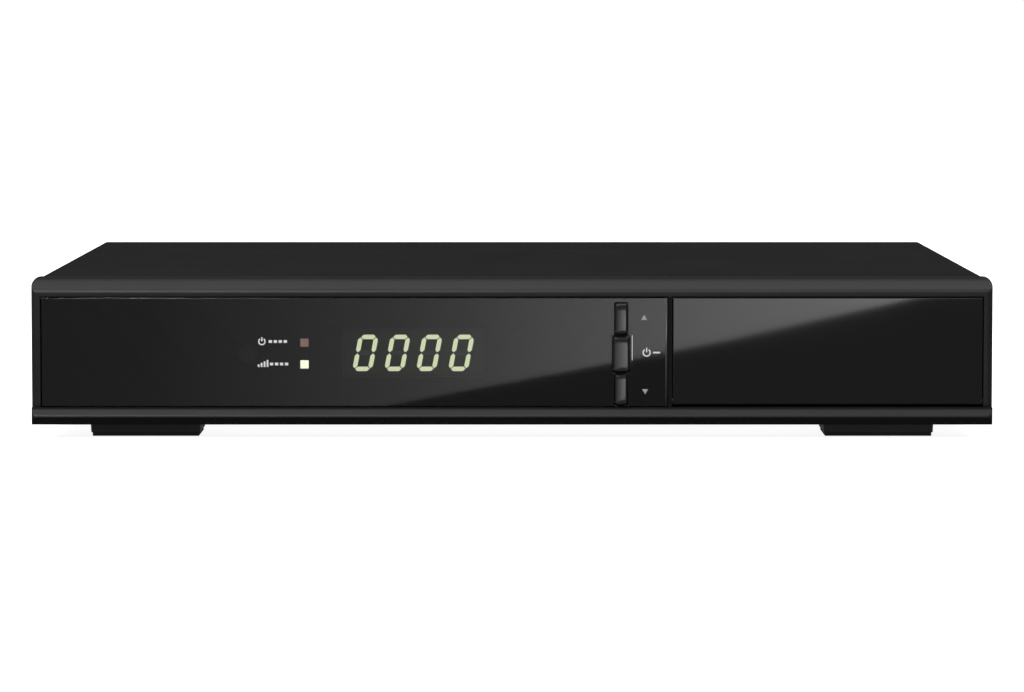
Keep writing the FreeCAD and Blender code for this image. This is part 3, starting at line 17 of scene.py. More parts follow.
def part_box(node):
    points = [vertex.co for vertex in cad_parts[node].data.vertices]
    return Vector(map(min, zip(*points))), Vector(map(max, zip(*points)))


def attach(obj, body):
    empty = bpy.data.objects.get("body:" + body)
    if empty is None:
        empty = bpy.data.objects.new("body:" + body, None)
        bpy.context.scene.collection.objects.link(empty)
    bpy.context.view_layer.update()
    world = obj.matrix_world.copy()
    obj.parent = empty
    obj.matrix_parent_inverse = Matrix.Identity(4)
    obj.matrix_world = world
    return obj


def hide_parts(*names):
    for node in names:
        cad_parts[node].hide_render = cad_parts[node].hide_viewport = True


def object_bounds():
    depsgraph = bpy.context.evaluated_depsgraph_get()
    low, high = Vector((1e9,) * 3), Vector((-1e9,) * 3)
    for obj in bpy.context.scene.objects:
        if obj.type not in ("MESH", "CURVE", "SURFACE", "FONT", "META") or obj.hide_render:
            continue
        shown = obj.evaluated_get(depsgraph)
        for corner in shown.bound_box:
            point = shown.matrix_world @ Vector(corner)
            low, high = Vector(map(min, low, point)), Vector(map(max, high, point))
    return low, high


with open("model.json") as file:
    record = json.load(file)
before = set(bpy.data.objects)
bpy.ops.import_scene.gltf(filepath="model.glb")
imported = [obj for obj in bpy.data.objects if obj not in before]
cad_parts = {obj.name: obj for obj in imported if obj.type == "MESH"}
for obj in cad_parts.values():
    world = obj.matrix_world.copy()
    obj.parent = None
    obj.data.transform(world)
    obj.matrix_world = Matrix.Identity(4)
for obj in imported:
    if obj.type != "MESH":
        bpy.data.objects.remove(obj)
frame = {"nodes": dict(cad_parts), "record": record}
cad_low, cad_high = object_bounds()
MM = 0.001
print("nodes", len(frame["nodes"]), "size in mm", [round(v / MM, 1) for v in cad_high - cad_low])

# %% [markdown]
# ## The camera
# The receiver is seen from straight in front and a little above, from more than a metre away, so
# that its long top shows as a thin strip. A long lens from that distance keeps the sides almost
# parallel. A wide lens near the front would fan the top out instead, so distance and lens are
# chosen together.

# %% Place the camera
CAMERA_BACK = 1.2867
CAMERA_HEIGHT = 0.1129
CAMERA_PITCH = 4.216
FOCAL_LENGTH, SENSOR_WIDTH = 154.83, 36


def add_object(name, data):
    """A new object in the scene."""
    made = bpy.data.objects.new(name, data)
    bpy.context.scene.collection.objects.link(made)
    return made


lens = bpy.data.cameras.new("front_camera")
lens.lens = FOCAL_LENGTH
lens.sensor_width = SENSOR_WIDTH
camera = add_object("front_camera", lens)
camera.location = (0, -CAMERA_BACK, CAMERA_HEIGHT)
camera.rotation_euler = (math.radians(90 - CAMERA_PITCH), 0, 0)
bpy.context.scene.camera = camera
bpy.context.scene.view_settings.view_transform = "Standard"
print("camera at", tuple(camera.location), "lens", lens.lens)

# %% [markdown]
# ## Building nodes by name
# Every material is a small graph. These helpers keep the graphs short to read: one adds a node with
# its settings and inputs, and the others are the few sums and mixes that come back everywhere. An
# input that is given a socket is linked, and any other value is typed in.


# %% Adding one node
def give(tree, socket, value):
    """A socket takes a typed value, or a link where the value is another node's socket."""
    if isinstance(value, bpy.types.NodeSocket):
        tree.links.new(value, socket)
    elif socket.type == "RGBA" and len(value) == 3:
        socket.default_value = (*value, 1)
    else:
        socket.default_value = value


def add_node(tree, kind, inputs=None, **settings):
    """A node of one kind, with its settings, and with its inputs typed in or linked."""
    made = tree.nodes.new(kind)
    for name, value in settings.items():
        setattr(made, name, value)
    for name, value in (inputs or {}).items():
        give(tree, made.inputs[name], value)
    return made


print("node helpers ready")


# %% Sums, ranges and mixes
def sum_of(tree, operation, first, second):
    """The result socket of one sum on two values or sockets."""
    return add_node(tree, "ShaderNodeMath", {0: first, 1: second}, operation=operation).outputs[0]


def stretch(tree, value, low, high):
    """A value between 0 and 1 moved to between low and high."""
    inputs = {"Value": value, "To Min": low, "To Max": high}
    return add_node(tree, "ShaderNodeMapRange", inputs).outputs["Result"]


def fade_in(tree, value, start, full):
    """0 at start and 1 at full, in a straight line between."""
    inputs = {"Value": value, "From Min": start, "From Max": full}
    return add_node(tree, "ShaderNodeMapRange", inputs).outputs["Result"]


def tint(tree, mask, first, second):
    """A colour that goes from first to second as the mask goes from 0 to 1."""
    return add_node(tree, "ShaderNodeMix", {0: mask, 6: first, 7: second}, data_type="RGBA").outputs[2]


print("value helpers ready")

# %% [markdown]
# ## Effects that many finishes share
# A moulded case, a painted cover and a plated shell look different up close for the same few
# reasons: a fine grain, faint marks where hands and dust have been, streaks from rolling, and
# edges that are a little round. Each reason is one group here, built once, and every finish sets
# its own amounts. The grain comes first: a fine noise for the height, and the same noise fifty
# times broader for a slow mottle. The textures read Object coordinates in metres, so a grain of
# 0.4 mm is a scale of 2500.

# %% Grain
FLOAT, VECTOR = "NodeSocketFloat", "NodeSocketVector"
FIFTIETH = 0.02
GROUPS = {}


def effect_group(name, inputs, outputs):
    """An empty node group with float inputs, named outputs and its two end nodes."""
    tree = bpy.data.node_groups.new(name, "ShaderNodeTree")
    for label, value in inputs.items():
        tree.interface.new_socket(label, in_out="INPUT", socket_type=FLOAT).default_value = value
    for label, kind in outputs.items():
        tree.interface.new_socket(label, in_out="OUTPUT", socket_type=kind)
    given, result = tree.nodes.new("NodeGroupInput"), tree.nodes.new("NodeGroupOutput")
    return tree, given.outputs, result.inputs


def object_place(tree):
    """The place on the piece, in metres."""
    return add_node(tree, "ShaderNodeTexCoord").outputs["Object"]


def noise(tree, place, scale, detail, distortion=0.0):
    """The value of a noise texture at a place."""
    inputs = {"Vector": place, "Scale": scale, "Detail": detail, "Distortion": distortion}
    return add_node(tree, "ShaderNodeTexNoise", inputs).outputs["Fac"]


def make_grain():
    """Fine grain: a height, and a slow mottle of the same surface."""
    tree, given, result = effect_group("fine_grain", {"Scale": 2500.0}, {"Height": FLOAT, "Mottle": FLOAT})
    place = object_place(tree)
    tree.links.new(noise(tree, place, given["Scale"], detail=2.0), result["Height"])
    slow = sum_of(tree, "MULTIPLY", given["Scale"], FIFTIETH)
    tree.links.new(noise(tree, place, slow, detail=3.0), result["Mottle"])
    return tree


GROUPS["grain"] = make_grain()
print("group", GROUPS["grain"].name)

# %% [markdown]
# ## Handling and dust
# Smudges are broad and soft, and change only the gloss. Dust is a fine speckle, and it lies only
# where a face looks up, so its mask is multiplied by how level the face is.

# %% Marks of handling, and dust
SPECKS = 1400.0


def make_handling():
    """Marks of handling and dust: smudges anywhere, dust only where a face looks up."""
    outputs = {"Smudge": FLOAT, "Dust": FLOAT}
    tree, given, result = effect_group("handling", {"Scale": 30.0, "Dust": 0.3}, outputs)
    place = object_place(tree)
    smear = noise(tree, place, given["Scale"], detail=5.0, distortion=0.6)
    tree.links.new(fade_in(tree, smear, start=0.4, full=0.75), result["Smudge"])
    speck = fade_in(tree, noise(tree, place, SPECKS, detail=2.0), start=0.58, full=0.75)
    facing = add_node(tree, "ShaderNodeNewGeometry").outputs["Normal"]
    upward = add_node(tree, "ShaderNodeSeparateXYZ", {0: facing}).outputs["Z"]
    lying = sum_of(tree, "MULTIPLY", speck, fade_in(tree, upward, start=0.7, full=1.0))
    tree.links.new(sum_of(tree, "MULTIPLY", lying, given["Dust"]), result["Dust"])
    return tree


GROUPS["handling"] = make_handling()
print("group", GROUPS["handling"].name)

# %% [markdown]
# ## Streaks
# Rolled or drawn metal has fine lines in one direction. The same noise gives them once its
# coordinates are squeezed along X, because each speck is then drawn out to a line.


# %% Drawn streaks
def make_streaks():
    """Long fine streaks along X, as rolling or drawing leaves them on metal."""
    tree, given, result = effect_group("drawn_streaks", {"Scale": 3000.0}, {"Height": FLOAT})
    drawn = add_node(tree, "ShaderNodeMapping", {"Vector": object_place(tree), "Scale": (FIFTIETH, 1, 1)})
    tree.links.new(noise(tree, drawn.outputs[0], given["Scale"], detail=3.0), result["Height"])
    return tree


GROUPS["streaks"] = make_streaks()
print("group", GROUPS["streaks"].name)

# %% [markdown]
# ## Soft edges
# No moulded edge is sharp. The Bevel node bends the normal near an edge without a change to the
# mesh, and where the bent normal leaves the flat one, the group also gives a mask for wear.


# %% Soft edges
def make_soft_edges():
    """Rounded edges: a normal that turns over the edge, and a mask of where it does."""
    tree, given, result = effect_group("soft_edges", {"Radius": 0.3 * MM}, {"Normal": VECTOR, "Edge": FLOAT})
    rounded = add_node(tree, "ShaderNodeBevel", {"Radius": given["Radius"]}, samples=6).outputs[0]
    flat = add_node(tree, "ShaderNodeNewGeometry").outputs["Normal"]
    agree = add_node(tree, "ShaderNodeVectorMath", {0: rounded, 1: flat}, operation="DOT_PRODUCT")
    tree.links.new(rounded, result["Normal"])
    tree.links.new(fade_in(tree, agree.outputs["Value"], start=0.99, full=0.8), result["Edge"])
    return tree


GROUPS["edges"] = make_soft_edges()
print("shared effects", sorted(GROUPS))

# %% [markdown]
# ## One recipe for solid finishes
# Most of the receiver is plastic, paint or plated steel. One function covers them all: two close
# tones mixed by the mottle, a roughness that the smudges lift, a bump from the grain or the
# streaks, and soft edges under the bump. Values that don't change over the surface are typed on
# the Principled shader's own sockets.

# %% The recipe
FINISHES = {}
DUST_TONE = (0.4, 0.39, 0.37)


def use(tree, group, **inputs):
    """One shared effect, placed in a material."""
    placed = add_node(tree, "ShaderNodeGroup", node_tree=GROUPS[group])
    for name, value in inputs.items():
        placed.inputs[name].default_value = value
    return placed.outputs


def shader_of(material):
    """The tree and the Principled shader of a material."""
    return material.node_tree, material.node_tree.nodes["Principled BSDF"]


def start_material(name):
    """A new material, with the default nodes kept."""
    material = bpy.data.materials.new(name)
    material.use_nodes = True
    return material


def finish(name, tones, rough, metal=0.0, grain=0.4, depth=0.01, streaks=False, edge=0.3,
           edge_tone=None, dust=0.25, sockets=None):
    """A solid finish: tones (dark, light), rough (clean, smudged); grain, depth and edge in mm."""
    material = start_material(name)
    tree, shader = shader_of(material)
    surface = use(tree, "grain", Scale=1 / (grain * MM))
    marks = use(tree, "handling", Scale=30.0, Dust=dust)
    edges = use(tree, "edges", Radius=edge * MM)
    height = use(tree, "streaks", Scale=1 / (grain * MM))["Height"] if streaks else surface["Height"]
    colour = tint(tree, surface["Mottle"], *tones)
    if edge_tone:
        colour = tint(tree, sum_of(tree, "MULTIPLY", edges["Edge"], marks["Smudge"]), colour, edge_tone)
    bump = {"Height": height, "Distance": depth * MM, "Normal": edges["Normal"]}
    give(tree, shader.inputs["Base Color"], tint(tree, marks["Dust"], colour, DUST_TONE))
    give(tree, shader.inputs["Roughness"], stretch(tree, marks["Smudge"], *rough))
    give(tree, shader.inputs["Normal"], add_node(tree, "ShaderNodeBump", bump).outputs["Normal"])
    for label, value in {"Metallic": metal, **(sockets or {})}.items():
        shader.inputs[label].default_value = value
    FINISHES[name] = material
    return material


def grey(value, warm=0.0):
    """A grey as a colour, a little warm or cool."""
    return (value * (1 + warm), value, value * (1 - warm))


def greys(dark, light):
    """Two plain greys, dark and light."""
    return grey(dark), grey(light)


print("recipe ready")

# %% [markdown]
# ## Case finishes
# The case is dark throughout, and what tells its parts apart is gloss: a matt painted cover, a
# satin moulded bezel, and keys with a shine. Even black paint gives back some light, so each tone
# is a dark grey. Wear shows as a lighter tone on the painted edges.

# %% Mouldings, paint and feet
finish("bezel_plastic", greys(0.008, 0.0105), (0.3, 0.42), grain=0.5, depth=0.008, edge=0.6, dust=0.02,
       sockets={"Specular IOR Level": 0.3})
finish("cover_paint", greys(0.0135, 0.018), (0.6, 0.75), grain=0.6, depth=0.02, edge_tone=grey(0.08),
       dust=0.02, sockets={"Specular IOR Level": 0.0})
finish("panel_paint", greys(0.022, 0.028), (0.5, 0.65), grain=0.6, depth=0.02, edge_tone=grey(0.1))
finish("screw_black", greys(0.02, 0.035), (0.3, 0.5), metal=0.6, grain=0.3, edge_tone=grey(0.2))
finish("key_plastic", greys(0.008, 0.011), (0.05, 0.12), grain=1.0, depth=0.002)
finish("switch_case", greys(0.03, 0.045), (0.45, 0.6))
finish("foot_plastic", greys(0.014, 0.02), (0.4, 0.55), grain=0.6, depth=0.02)
finish("foot_rubber", greys(0.02, 0.03), (0.75, 0.9), grain=0.7, depth=0.04)
finish("rocker_plastic", greys(0.018, 0.022), (0.12, 0.25), depth=0.003)
for name, dark, light in (("scart_plastic", 0.02, 0.03), ("jack_plastic", 0.025, 0.035),
                          ("inlet_plastic", 0.018, 0.026)):
    finish(name, greys(dark, light), (0.35, 0.5))
print("case finishes", len(FINISHES))

# %% [markdown]
# ## Coloured plastics and metals
# The jacks are told apart by three collars: yellow, white and red. Plated steel, nickel and tin
# are full metals that differ in tone and roughness. The rolled ones take their bump from the
# streaks, because a drawn surface shines in lines and not in specks.

# %% Coloured plastics
COLLARS = {
    "yellow_plastic": ((0.8, 0.55, 0.02), (0.9, 0.65, 0.04)),
    "white_plastic": ((0.8, 0.79, 0.75), (0.86, 0.85, 0.82)),
    "red_plastic": ((0.55, 0.015, 0.015), (0.68, 0.03, 0.025)),
}
for name, tones in COLLARS.items():
    finish(name, tones, (0.2, 0.35), depth=0.004)
finish("plunger_plastic", ((0.8, 0.78, 0.72), (0.86, 0.84, 0.79)), (0.4, 0.5))
finish("insulator_white", ((0.8, 0.8, 0.76), (0.88, 0.88, 0.85)), (0.35, 0.5))
finish("plug_white", ((0.78, 0.75, 0.68), (0.85, 0.83, 0.77)), (0.35, 0.5))
print("with coloured plastics", len(FINISHES))

# %% Metals
finish("zinc_steel", (grey(0.52, -0.02), grey(0.66)), (0.28, 0.45), metal=1.0, grain=4.0,
       sockets={"Anisotropic": 0.2})
finish("nickel", ((0.68, 0.66, 0.61), (0.76, 0.74, 0.7)), (0.16, 0.32), metal=1.0, grain=2.0, depth=0.004)
finish("tin_plate", (grey(0.62, 0.01), grey(0.72)), (0.3, 0.45), metal=1.0, grain=0.5, depth=0.006,
       streaks=True)
finish("aluminium", (grey(0.72, -0.01), grey(0.8)), (0.3, 0.42), metal=1.0, streaks=True)
finish("copper_winding", ((0.5, 0.2, 0.07), (0.62, 0.28, 0.1)), (0.2, 0.35), metal=0.7, grain=0.6,
       depth=0.1, streaks=True)
print("with metals", len(FINISHES))

# %% [markdown]
# ## Finishes inside
# With the door open, and through the side slots, the inside shows: chips, capacitors, a
# transformer, films and leads. They are small and half in the dark, so plain finishes with the
# right colours are enough.

# %% Inner parts
finish("chip_black", greys(0.025, 0.035), (0.5, 0.62), grain=0.3)
finish("capacitor_sleeve", ((0.02, 0.025, 0.06), (0.03, 0.04, 0.09)), (0.15, 0.3))
finish("ferrite", greys(0.05, 0.08), (0.5, 0.65), grain=0.8, depth=0.03)
finish("winding_tape", ((0.7, 0.52, 0.06), (0.78, 0.62, 0.12)), (0.2, 0.35))
finish("fuse_glass", greys(0.66, 0.76), (0.12, 0.25), metal=0.8)
finish("lead_sleeve", ((0.5, 0.03, 0.02), (0.62, 0.05, 0.04)), (0.3, 0.45))
finish("foil_polymer", greys(0.04, 0.06), (0.25, 0.35))
finish("ribbon_film", greys(0.7, 0.78), (0.3, 0.4), grain=0.6, depth=0.05, streaks=True)
print("with inner parts", len(FINISHES))

# %% [markdown]
# ## Circuit boards
# A board is glass cloth under a coloured resist, with tracks that show through it and rows of
# plated holes. An image could show more, but a brick texture for the tracks and Voronoi cells for
# the holes stay sharp at any distance.

# %% Tracks and holes
HOLES_PER_TRACK, HOLE_RADIUS = 2.2, 0.12


def board(name, resist, copper, tracks):
    """A circuit board: tracks under a coloured resist, crossed by rows of plated holes."""
    lighter, lightest = tuple(1.25 * v for v in resist), tuple(1.8 * v for v in resist)
    tree, shader = shader_of(finish(name, (resist, lighter), (0.25, 0.35), depth=0.004))
    place = object_place(tree)
    black, white = (0, 0, 0), (1, 1, 1)
    runs = add_node(tree, "ShaderNodeTexBrick", {"Vector": place, "Scale": tracks, "Mortar Size": 0.012,
                                                 "Color1": black, "Color2": black, "Mortar": white})
    cells = {"Vector": place, "Scale": tracks * HOLES_PER_TRACK, "Randomness": 0.7}
    holes = add_node(tree, "ShaderNodeTexVoronoi", cells)
    hole = sum_of(tree, "LESS_THAN", holes.outputs["Distance"], HOLE_RADIUS)
    below = shader.inputs["Base Color"].links[0].from_socket
    tracked = tint(tree, runs.outputs["Color"], below, lightest)
    give(tree, shader.inputs["Base Color"], tint(tree, hole, tracked, copper))


board("board_green", (0.012, 0.09, 0.03), (0.6, 0.5, 0.25), 160.0)
board("board_tan", (0.4, 0.28, 0.13), (0.6, 0.55, 0.5), 90.0)
print("with boards", len(FINISHES))

# %% [markdown]
# ## The polished front
# The window and the door are cast from one plastic and polished after moulding. The window is
# smoked, so what is lit behind it shows and what isn't stays hidden. Tinted transmission does
# exactly that. A black opaque sheet with bright digits on top would look the same from the front,
# but the digits would float from the side.


# %% Smoked window, black door and the eye behind the window
def polished(name, colour, transmission):
    """Polished plastic with faint wiping marks in its gloss."""
    material = start_material(name)
    tree, shader = shader_of(material)
    marks = use(tree, "handling", Scale=14.0, Dust=0.06)
    edges = use(tree, "edges", Radius=0.25 * MM)
    give(tree, shader.inputs["Base Color"], tint(tree, marks["Dust"], colour, grey(0.3)))
    give(tree, shader.inputs["Roughness"], stretch(tree, marks["Smudge"], 0.02, 0.035))
    give(tree, shader.inputs["Normal"], edges["Normal"])
    shader.inputs["IOR"].default_value = 1.5
    shader.inputs["Transmission Weight"].default_value = transmission
    FINISHES[name] = material


polished("window_gloss", grey(0.002), 0.0)
polished("window_smoke", (0.3, 0.31, 0.29), 1.0)
finish("eye_plastic", ((0.004, 0.001, 0.002), (0.006, 0.001, 0.003)), (0.3, 0.4), dust=0.0,
       sockets={"Specular IOR Level": 0.05})
print("with the front", len(FINISHES))

# %% [markdown]
# ## Painted shade in the joints and under the chin
# Where two parts of a case meet, and under the chin, little light gets in, so painted shade makes the
# finish near black and dull there. The bezel has four such places: the joint with the cover, the foot
# of the window, the rib beside the door and the underside of the chin. Each is a mask by place on the
# piece, and one function paints shade into a finish by any mask. Painting it by hand would need an
# image, and a mask by place stays exact at any size.

# %% Where the joints are
CROWN = cad_high.z
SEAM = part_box("top_cover")[0].y
SILL, LINTEL = (corner.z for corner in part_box("front_window"))
RIB = (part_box("front_window")[1].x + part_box("card_door")[0].x) / 2


def object_axes(tree):
    """The X, Y and Z sockets of the place on the piece."""
    return add_node(tree, "ShaderNodeSeparateXYZ", {0: object_place(tree)}).outputs


def off_from(tree, value, middle):
    """How far a value is from a middle, on either side."""
    off = sum_of(tree, "SUBTRACT", value, middle)
    return add_node(tree, "ShaderNodeMath", {0: off}, operation="ABSOLUTE").outputs[0]


def soft_step(tree, value, full, gone):
    """1 up to full, then a smooth fall to 0 at gone."""
    inputs = {"Value": value, "From Min": full, "From Max": gone, "To Min": 1.0, "To Max": 0.0}
    fall = add_node(tree, "ShaderNodeMapRange", inputs, interpolation_type="SMOOTHSTEP")
    return fall.outputs["Result"]


def near_place(tree, value, middle, full, gone):
    """1 as far as full from a middle, and 0 beyond gone, both in millimetres."""
    return soft_step(tree, off_from(tree, value, middle), full * MM, gone * MM)


def near_joint(tree, axes, full, gone):
    """1 in the joint that runs across the top of the case between bezel and cover."""
    high_up = soft_step(tree, sum_of(tree, "SUBTRACT", CROWN, axes["Z"]), 2 * MM, 3.6 * MM)
    return sum_of(tree, "MULTIPLY", near_place(tree, axes["Y"], SEAM, full, gone), high_up)


def paint_shade(name, mask):
    """Painted shade: a finish goes dark and dull where the mask is 1."""
    tree, shader = shader_of(FINISHES[name])
    colour = shader.inputs["Base Color"].links[0].from_socket
    rough = shader.inputs["Roughness"].links[0].from_socket
    give(tree, shader.inputs["Base Color"], tint(tree, mask, colour, grey(0.001)))
    give(tree, shader.inputs["Roughness"], sum_of(tree, "MAXIMUM", rough, mask))


print("joint at", round(SEAM / MM, 2), "sill at", round(SILL / MM, 2), "rib at", round(RIB / MM, 2))

# %% Paint shade into the joints of cover and bezel, and under the chin
paint = FINISHES["cover_paint"].node_tree
# Painted shade on the cover, along its joint with the bezel.
paint_shade("cover_paint", near_joint(paint, object_axes(paint), full=0.5, gone=1.5))

CHIN_DARK, CHIN_CLEAR = 5.8 * MM, 7.0 * MM
HALF_OPENING = (LINTEL - SILL) / 2
plastic = FINISHES["bezel_plastic"].node_tree
axes = object_axes(plastic)
beside_rib = near_place(plastic, axes["X"], RIB, full=0.7, gone=0.9)
off_opening = off_from(plastic, axes["Z"], SILL + HALF_OPENING)
in_opening = soft_step(plastic, off_opening, HALF_OPENING, HALF_OPENING + 0.3 * MM)
# Painted shade on the bezel: along the joint with the cover, on the rib beside the door, under the chin and
# at the foot of the window.
painted_shade = near_joint(plastic, axes, full=0.2, gone=3.8)
for mask in (sum_of(plastic, "MULTIPLY", beside_rib, in_opening),
             soft_step(plastic, axes["Z"], CHIN_DARK, CHIN_CLEAR),
             near_place(plastic, axes["Z"], SILL, full=0.2, gone=1.5)):
    painted_shade = sum_of(plastic, "MAXIMUM", painted_shade, mask)
paint_shade("bezel_plastic", painted_shade)
print("joints darkened")

# %% [markdown]
# ## The lit display
# All four digits have seven bars, and a nought lights six of them. The lit and the dark bars are
# one node, so the finish decides by place which bars glow: it folds the row of digits onto one
# digit, undoes their slant, and masks the middle bar. An image of digits would blur up close.

# %% Digits
DIGIT_PITCH = 8.65 * MM
DIGIT_SLANT = math.tan(math.radians(11))
MIDDLE_BAR_REACH, MIDDLE_BAR_HALF = 2.02 * MM, 0.63 * MM
LIT, UNLIT, DIGIT_GLOW = (0.93, 1.0, 0.68), (0.01, 0.012, 0.004), 2.2
digits_low, digits_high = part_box("display_segments")
DIGITS_MIDDLE = (digits_low + digits_high) / 2


def light_up(material, colour, strength):
    """The finish glows by a colour, which may change over its surface."""
    tree, shader = shader_of(material)
    give(tree, shader.inputs["Emission Color"], colour)
    shader.inputs["Emission Strength"].default_value = strength


digit_light = finish("display_light", ((0.05, 0.055, 0.03), (0.06, 0.065, 0.035)), (0.3, 0.4))
tree = digit_light.node_tree
axes = object_axes(tree)
height = sum_of(tree, "SUBTRACT", axes["Z"], DIGITS_MIDDLE.z)
upright = sum_of(tree, "SUBTRACT", axes["X"], sum_of(tree, "MULTIPLY", height, DIGIT_SLANT))
in_row = sum_of(tree, "SUBTRACT", upright, DIGITS_MIDDLE.x)
folded = add_node(tree, "ShaderNodeMath", {0: in_row, 1: DIGIT_PITCH, 2: 0.0}, operation="WRAP").outputs[0]
across = off_from(tree, folded, DIGIT_PITCH / 2)
off_middle = off_from(tree, axes["Z"], DIGITS_MIDDLE.z)
past_corner = sum_of(tree, "GREATER_THAN", sum_of(tree, "ADD", across, off_middle), MIDDLE_BAR_REACH)
past_bar = sum_of(tree, "GREATER_THAN", off_middle, MIDDLE_BAR_HALF)
lit = sum_of(tree, "MAXIMUM", past_corner, past_bar)
light_up(digit_light, tint(tree, lit, UNLIT, LIT), DIGIT_GLOW)
print("digits centred at", [round(v / MM, 1) for v in DIGITS_MIDDLE])

# %% [markdown]
# ## Painted glow round the digits, and the lamps
# Light from the digits would spill onto the case that holds them, so the case gets a painted glow,
# faintly olive, round them and not elsewhere. The two light pipes are one node, and their finish
# tells them apart by height: the upper lamp is almost out, and the lower one is bright.

# %% Display case and lamps
OLIVE, CASE_PAINTED_GLOW = (0.55, 0.7, 0.05), 0.015
LAMP_ON, LAMP_OUT, LAMP_GLOW = (1.0, 0.97, 0.8), (0.17, 0.1, 0.085), 3.4
display_case = finish("display_case", ((0.003, 0.004, 0.002), (0.004, 0.005, 0.003)), (0.6, 0.7), dust=0.0,
                      sockets={"Specular IOR Level": 0.0})
tree = display_case.node_tree
axes = object_axes(tree)
# Painted light: the case glows faintly olive near the digits, where their spill would light it.
painted_spill = sum_of(tree, "MULTIPLY", near_place(tree, axes["X"], DIGITS_MIDDLE.x, full=16, gone=19),
                     near_place(tree, axes["Z"], DIGITS_MIDDLE.z, full=4.2, gone=6.4))
light_up(display_case, tint(tree, painted_spill, (0, 0, 0), OLIVE), CASE_PAINTED_GLOW)

pipes = finish("pipe_clear", greys(0.3, 0.35), (0.2, 0.3))
tree = pipes.node_tree
BETWEEN_LAMPS = sum(corner.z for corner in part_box("light_pipes")) / 2
upper = sum_of(tree, "GREATER_THAN", object_axes(tree)["Z"], BETWEEN_LAMPS)
light_up(pipes, tint(tree, upper, LAMP_ON, LAMP_OUT), LAMP_GLOW)

lamp_chip = finish("lamp_chip", ((0.8, 0.75, 0.5), (0.9, 0.85, 0.6)), (0.2, 0.3))
light_up(lamp_chip, (1.0, 0.9, 0.6), 1.0)
print("lamps part at", round(BETWEEN_LAMPS / MM, 2), "finishes", len(FINISHES))

# %% [markdown]
# ## Dressing the nodes
# The record says which finish each node takes. Only the window differs: it shares the door's
# record slot, but is smoked instead of opaque.

# %% Put the finishes on
RECORD_SLOT = {entry["node"]: entry["material_slot"] for entry in frame["record"]["subparts"]}


def dress(node, material):
    """One CAD node gets a finish in every one of its slots."""
    for place in frame["nodes"][node].material_slots:
        place.material = material


for node, slot in RECORD_SLOT.items():
    dress(node, FINISHES[slot])
dress("front_window", FINISHES["window_smoke"])
print("dressed", len(RECORD_SLOT), "nodes")

# %% [markdown]
# ## Pieces in millimetres
# A receiver is drawn in millimetres, and so are its finer pieces here. One helper makes every
# piece: it scales the drawn form to metres, turns its faces outwards, and makes it ride on the
# body that carries it. Another gathers the vertices that an extrusion made, since most shapes
# below are a flat start that is extruded and moved.


# %% Helpers for pieces
def mm(corners):
    """Corners that the frame gives in metres, in millimetres."""
    return [corner / MM for corner in corners]


def link_up(name, form):
    """The form becomes a mesh object in the scene."""
    mesh = bpy.data.meshes.new(name)
    form.to_mesh(mesh)
    form.free()
    return add_object(name, mesh)


def to_metres(form):
    """A form drawn in millimetres, at its true size and with its faces outwards."""
    bmesh.ops.scale(form, verts=form.verts, vec=(MM, MM, MM))
    bmesh.ops.recalc_face_normals(form, faces=form.faces)
    return form


def new_piece(name, form, finish_name, body, smooth=False):
    """A finished piece, drawn in millimetres, that rides on a body."""
    piece = link_up(name, to_metres(form))
    mesh = piece.data
    for face in mesh.polygons:
        face.use_smooth = smooth
    mesh.materials.append(FINISHES[finish_name])
    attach(piece, body)
    print(name, len(mesh.polygons), "faces on", body)
    return piece


def verts_of(result):
    """The vertices among what an operator made."""
    return [item for item in result["geom"] if isinstance(item, bmesh.types.BMVert)]


print("piece helpers ready")

# %% [markdown]
# ## Printed marks
# The marks on the front are generic: a standby ring, signal bars, arrows and plain bars. Real
# ones are screen printed, a film far thinner than paper. Each mark starts as a flat bmesh shape
# and is extruded to that thin film, so that it lies on the window and is seen from any side. The
# arrows beside the keys are greyer than the rest, so they are a piece of their own.

# %% Flat shapes
UPRIGHT = Matrix.Rotation(math.pi / 2, 4, "X")
FILM = 0.03


def bar(form, x, z, width, height):
    """A flat bar in the mark's plane, centred at x, z."""
    place = Matrix.Translation((x, 0, z)) @ Matrix.Diagonal((width, 1, height, 1)) @ UPRIGHT
    bmesh.ops.create_grid(form, x_segments=1, y_segments=1, size=0.5, matrix=place)


def arrow(form, x, z, size, turn):
    """A flat triangle that points up, or down when turned."""
    place = Matrix.Translation((x, 0, z)) @ Matrix.Rotation(turn, 4, "Y") @ UPRIGHT
    bmesh.ops.create_circle(form, cap_ends=True, segments=3, radius=size, matrix=place)


def ring(form, x, z, radius, stroke, opening):
    """A ring with an opening at its top, in degrees, spun from one short edge."""
    start = math.radians(opening / 2)
    radii = (radius - stroke / 2, radius + stroke / 2)
    ends = [form.verts.new((x + r * math.sin(start), 0, z + r * math.cos(start))) for r in radii]
    edge = form.edges.new(ends)
    bmesh.ops.spin(form, geom=[edge, *ends], cent=(x, 0, z), axis=(0, 1, 0),
                   angle=math.radians(360 - opening), steps=20)


def film(form, front=0.0):
    """The flat marks become a film from y = front inwards."""
    raised = bmesh.ops.extrude_face_region(form, geom=form.faces[:])
    bmesh.ops.translate(form, verts=verts_of(raised), vec=(0, FILM, 0))
    bmesh.ops.translate(form, verts=form.verts, vec=(0, front, 0))


print("film in mm", FILM)


# %% Marks on the window
def standby(form, x, z, radius, stroke, stem, tall):
    """The standby sign: an open ring and the stem in its opening."""
    ring(form, x, z, radius, stroke, 70)
    bar(form, x, z + stem, stroke, tall)


def caption(form, x, z):
    """Four plain bars in a row."""
    for step in range(4):
        bar(form, x + 1.35 * step, z, width=0.9, height=0.75)


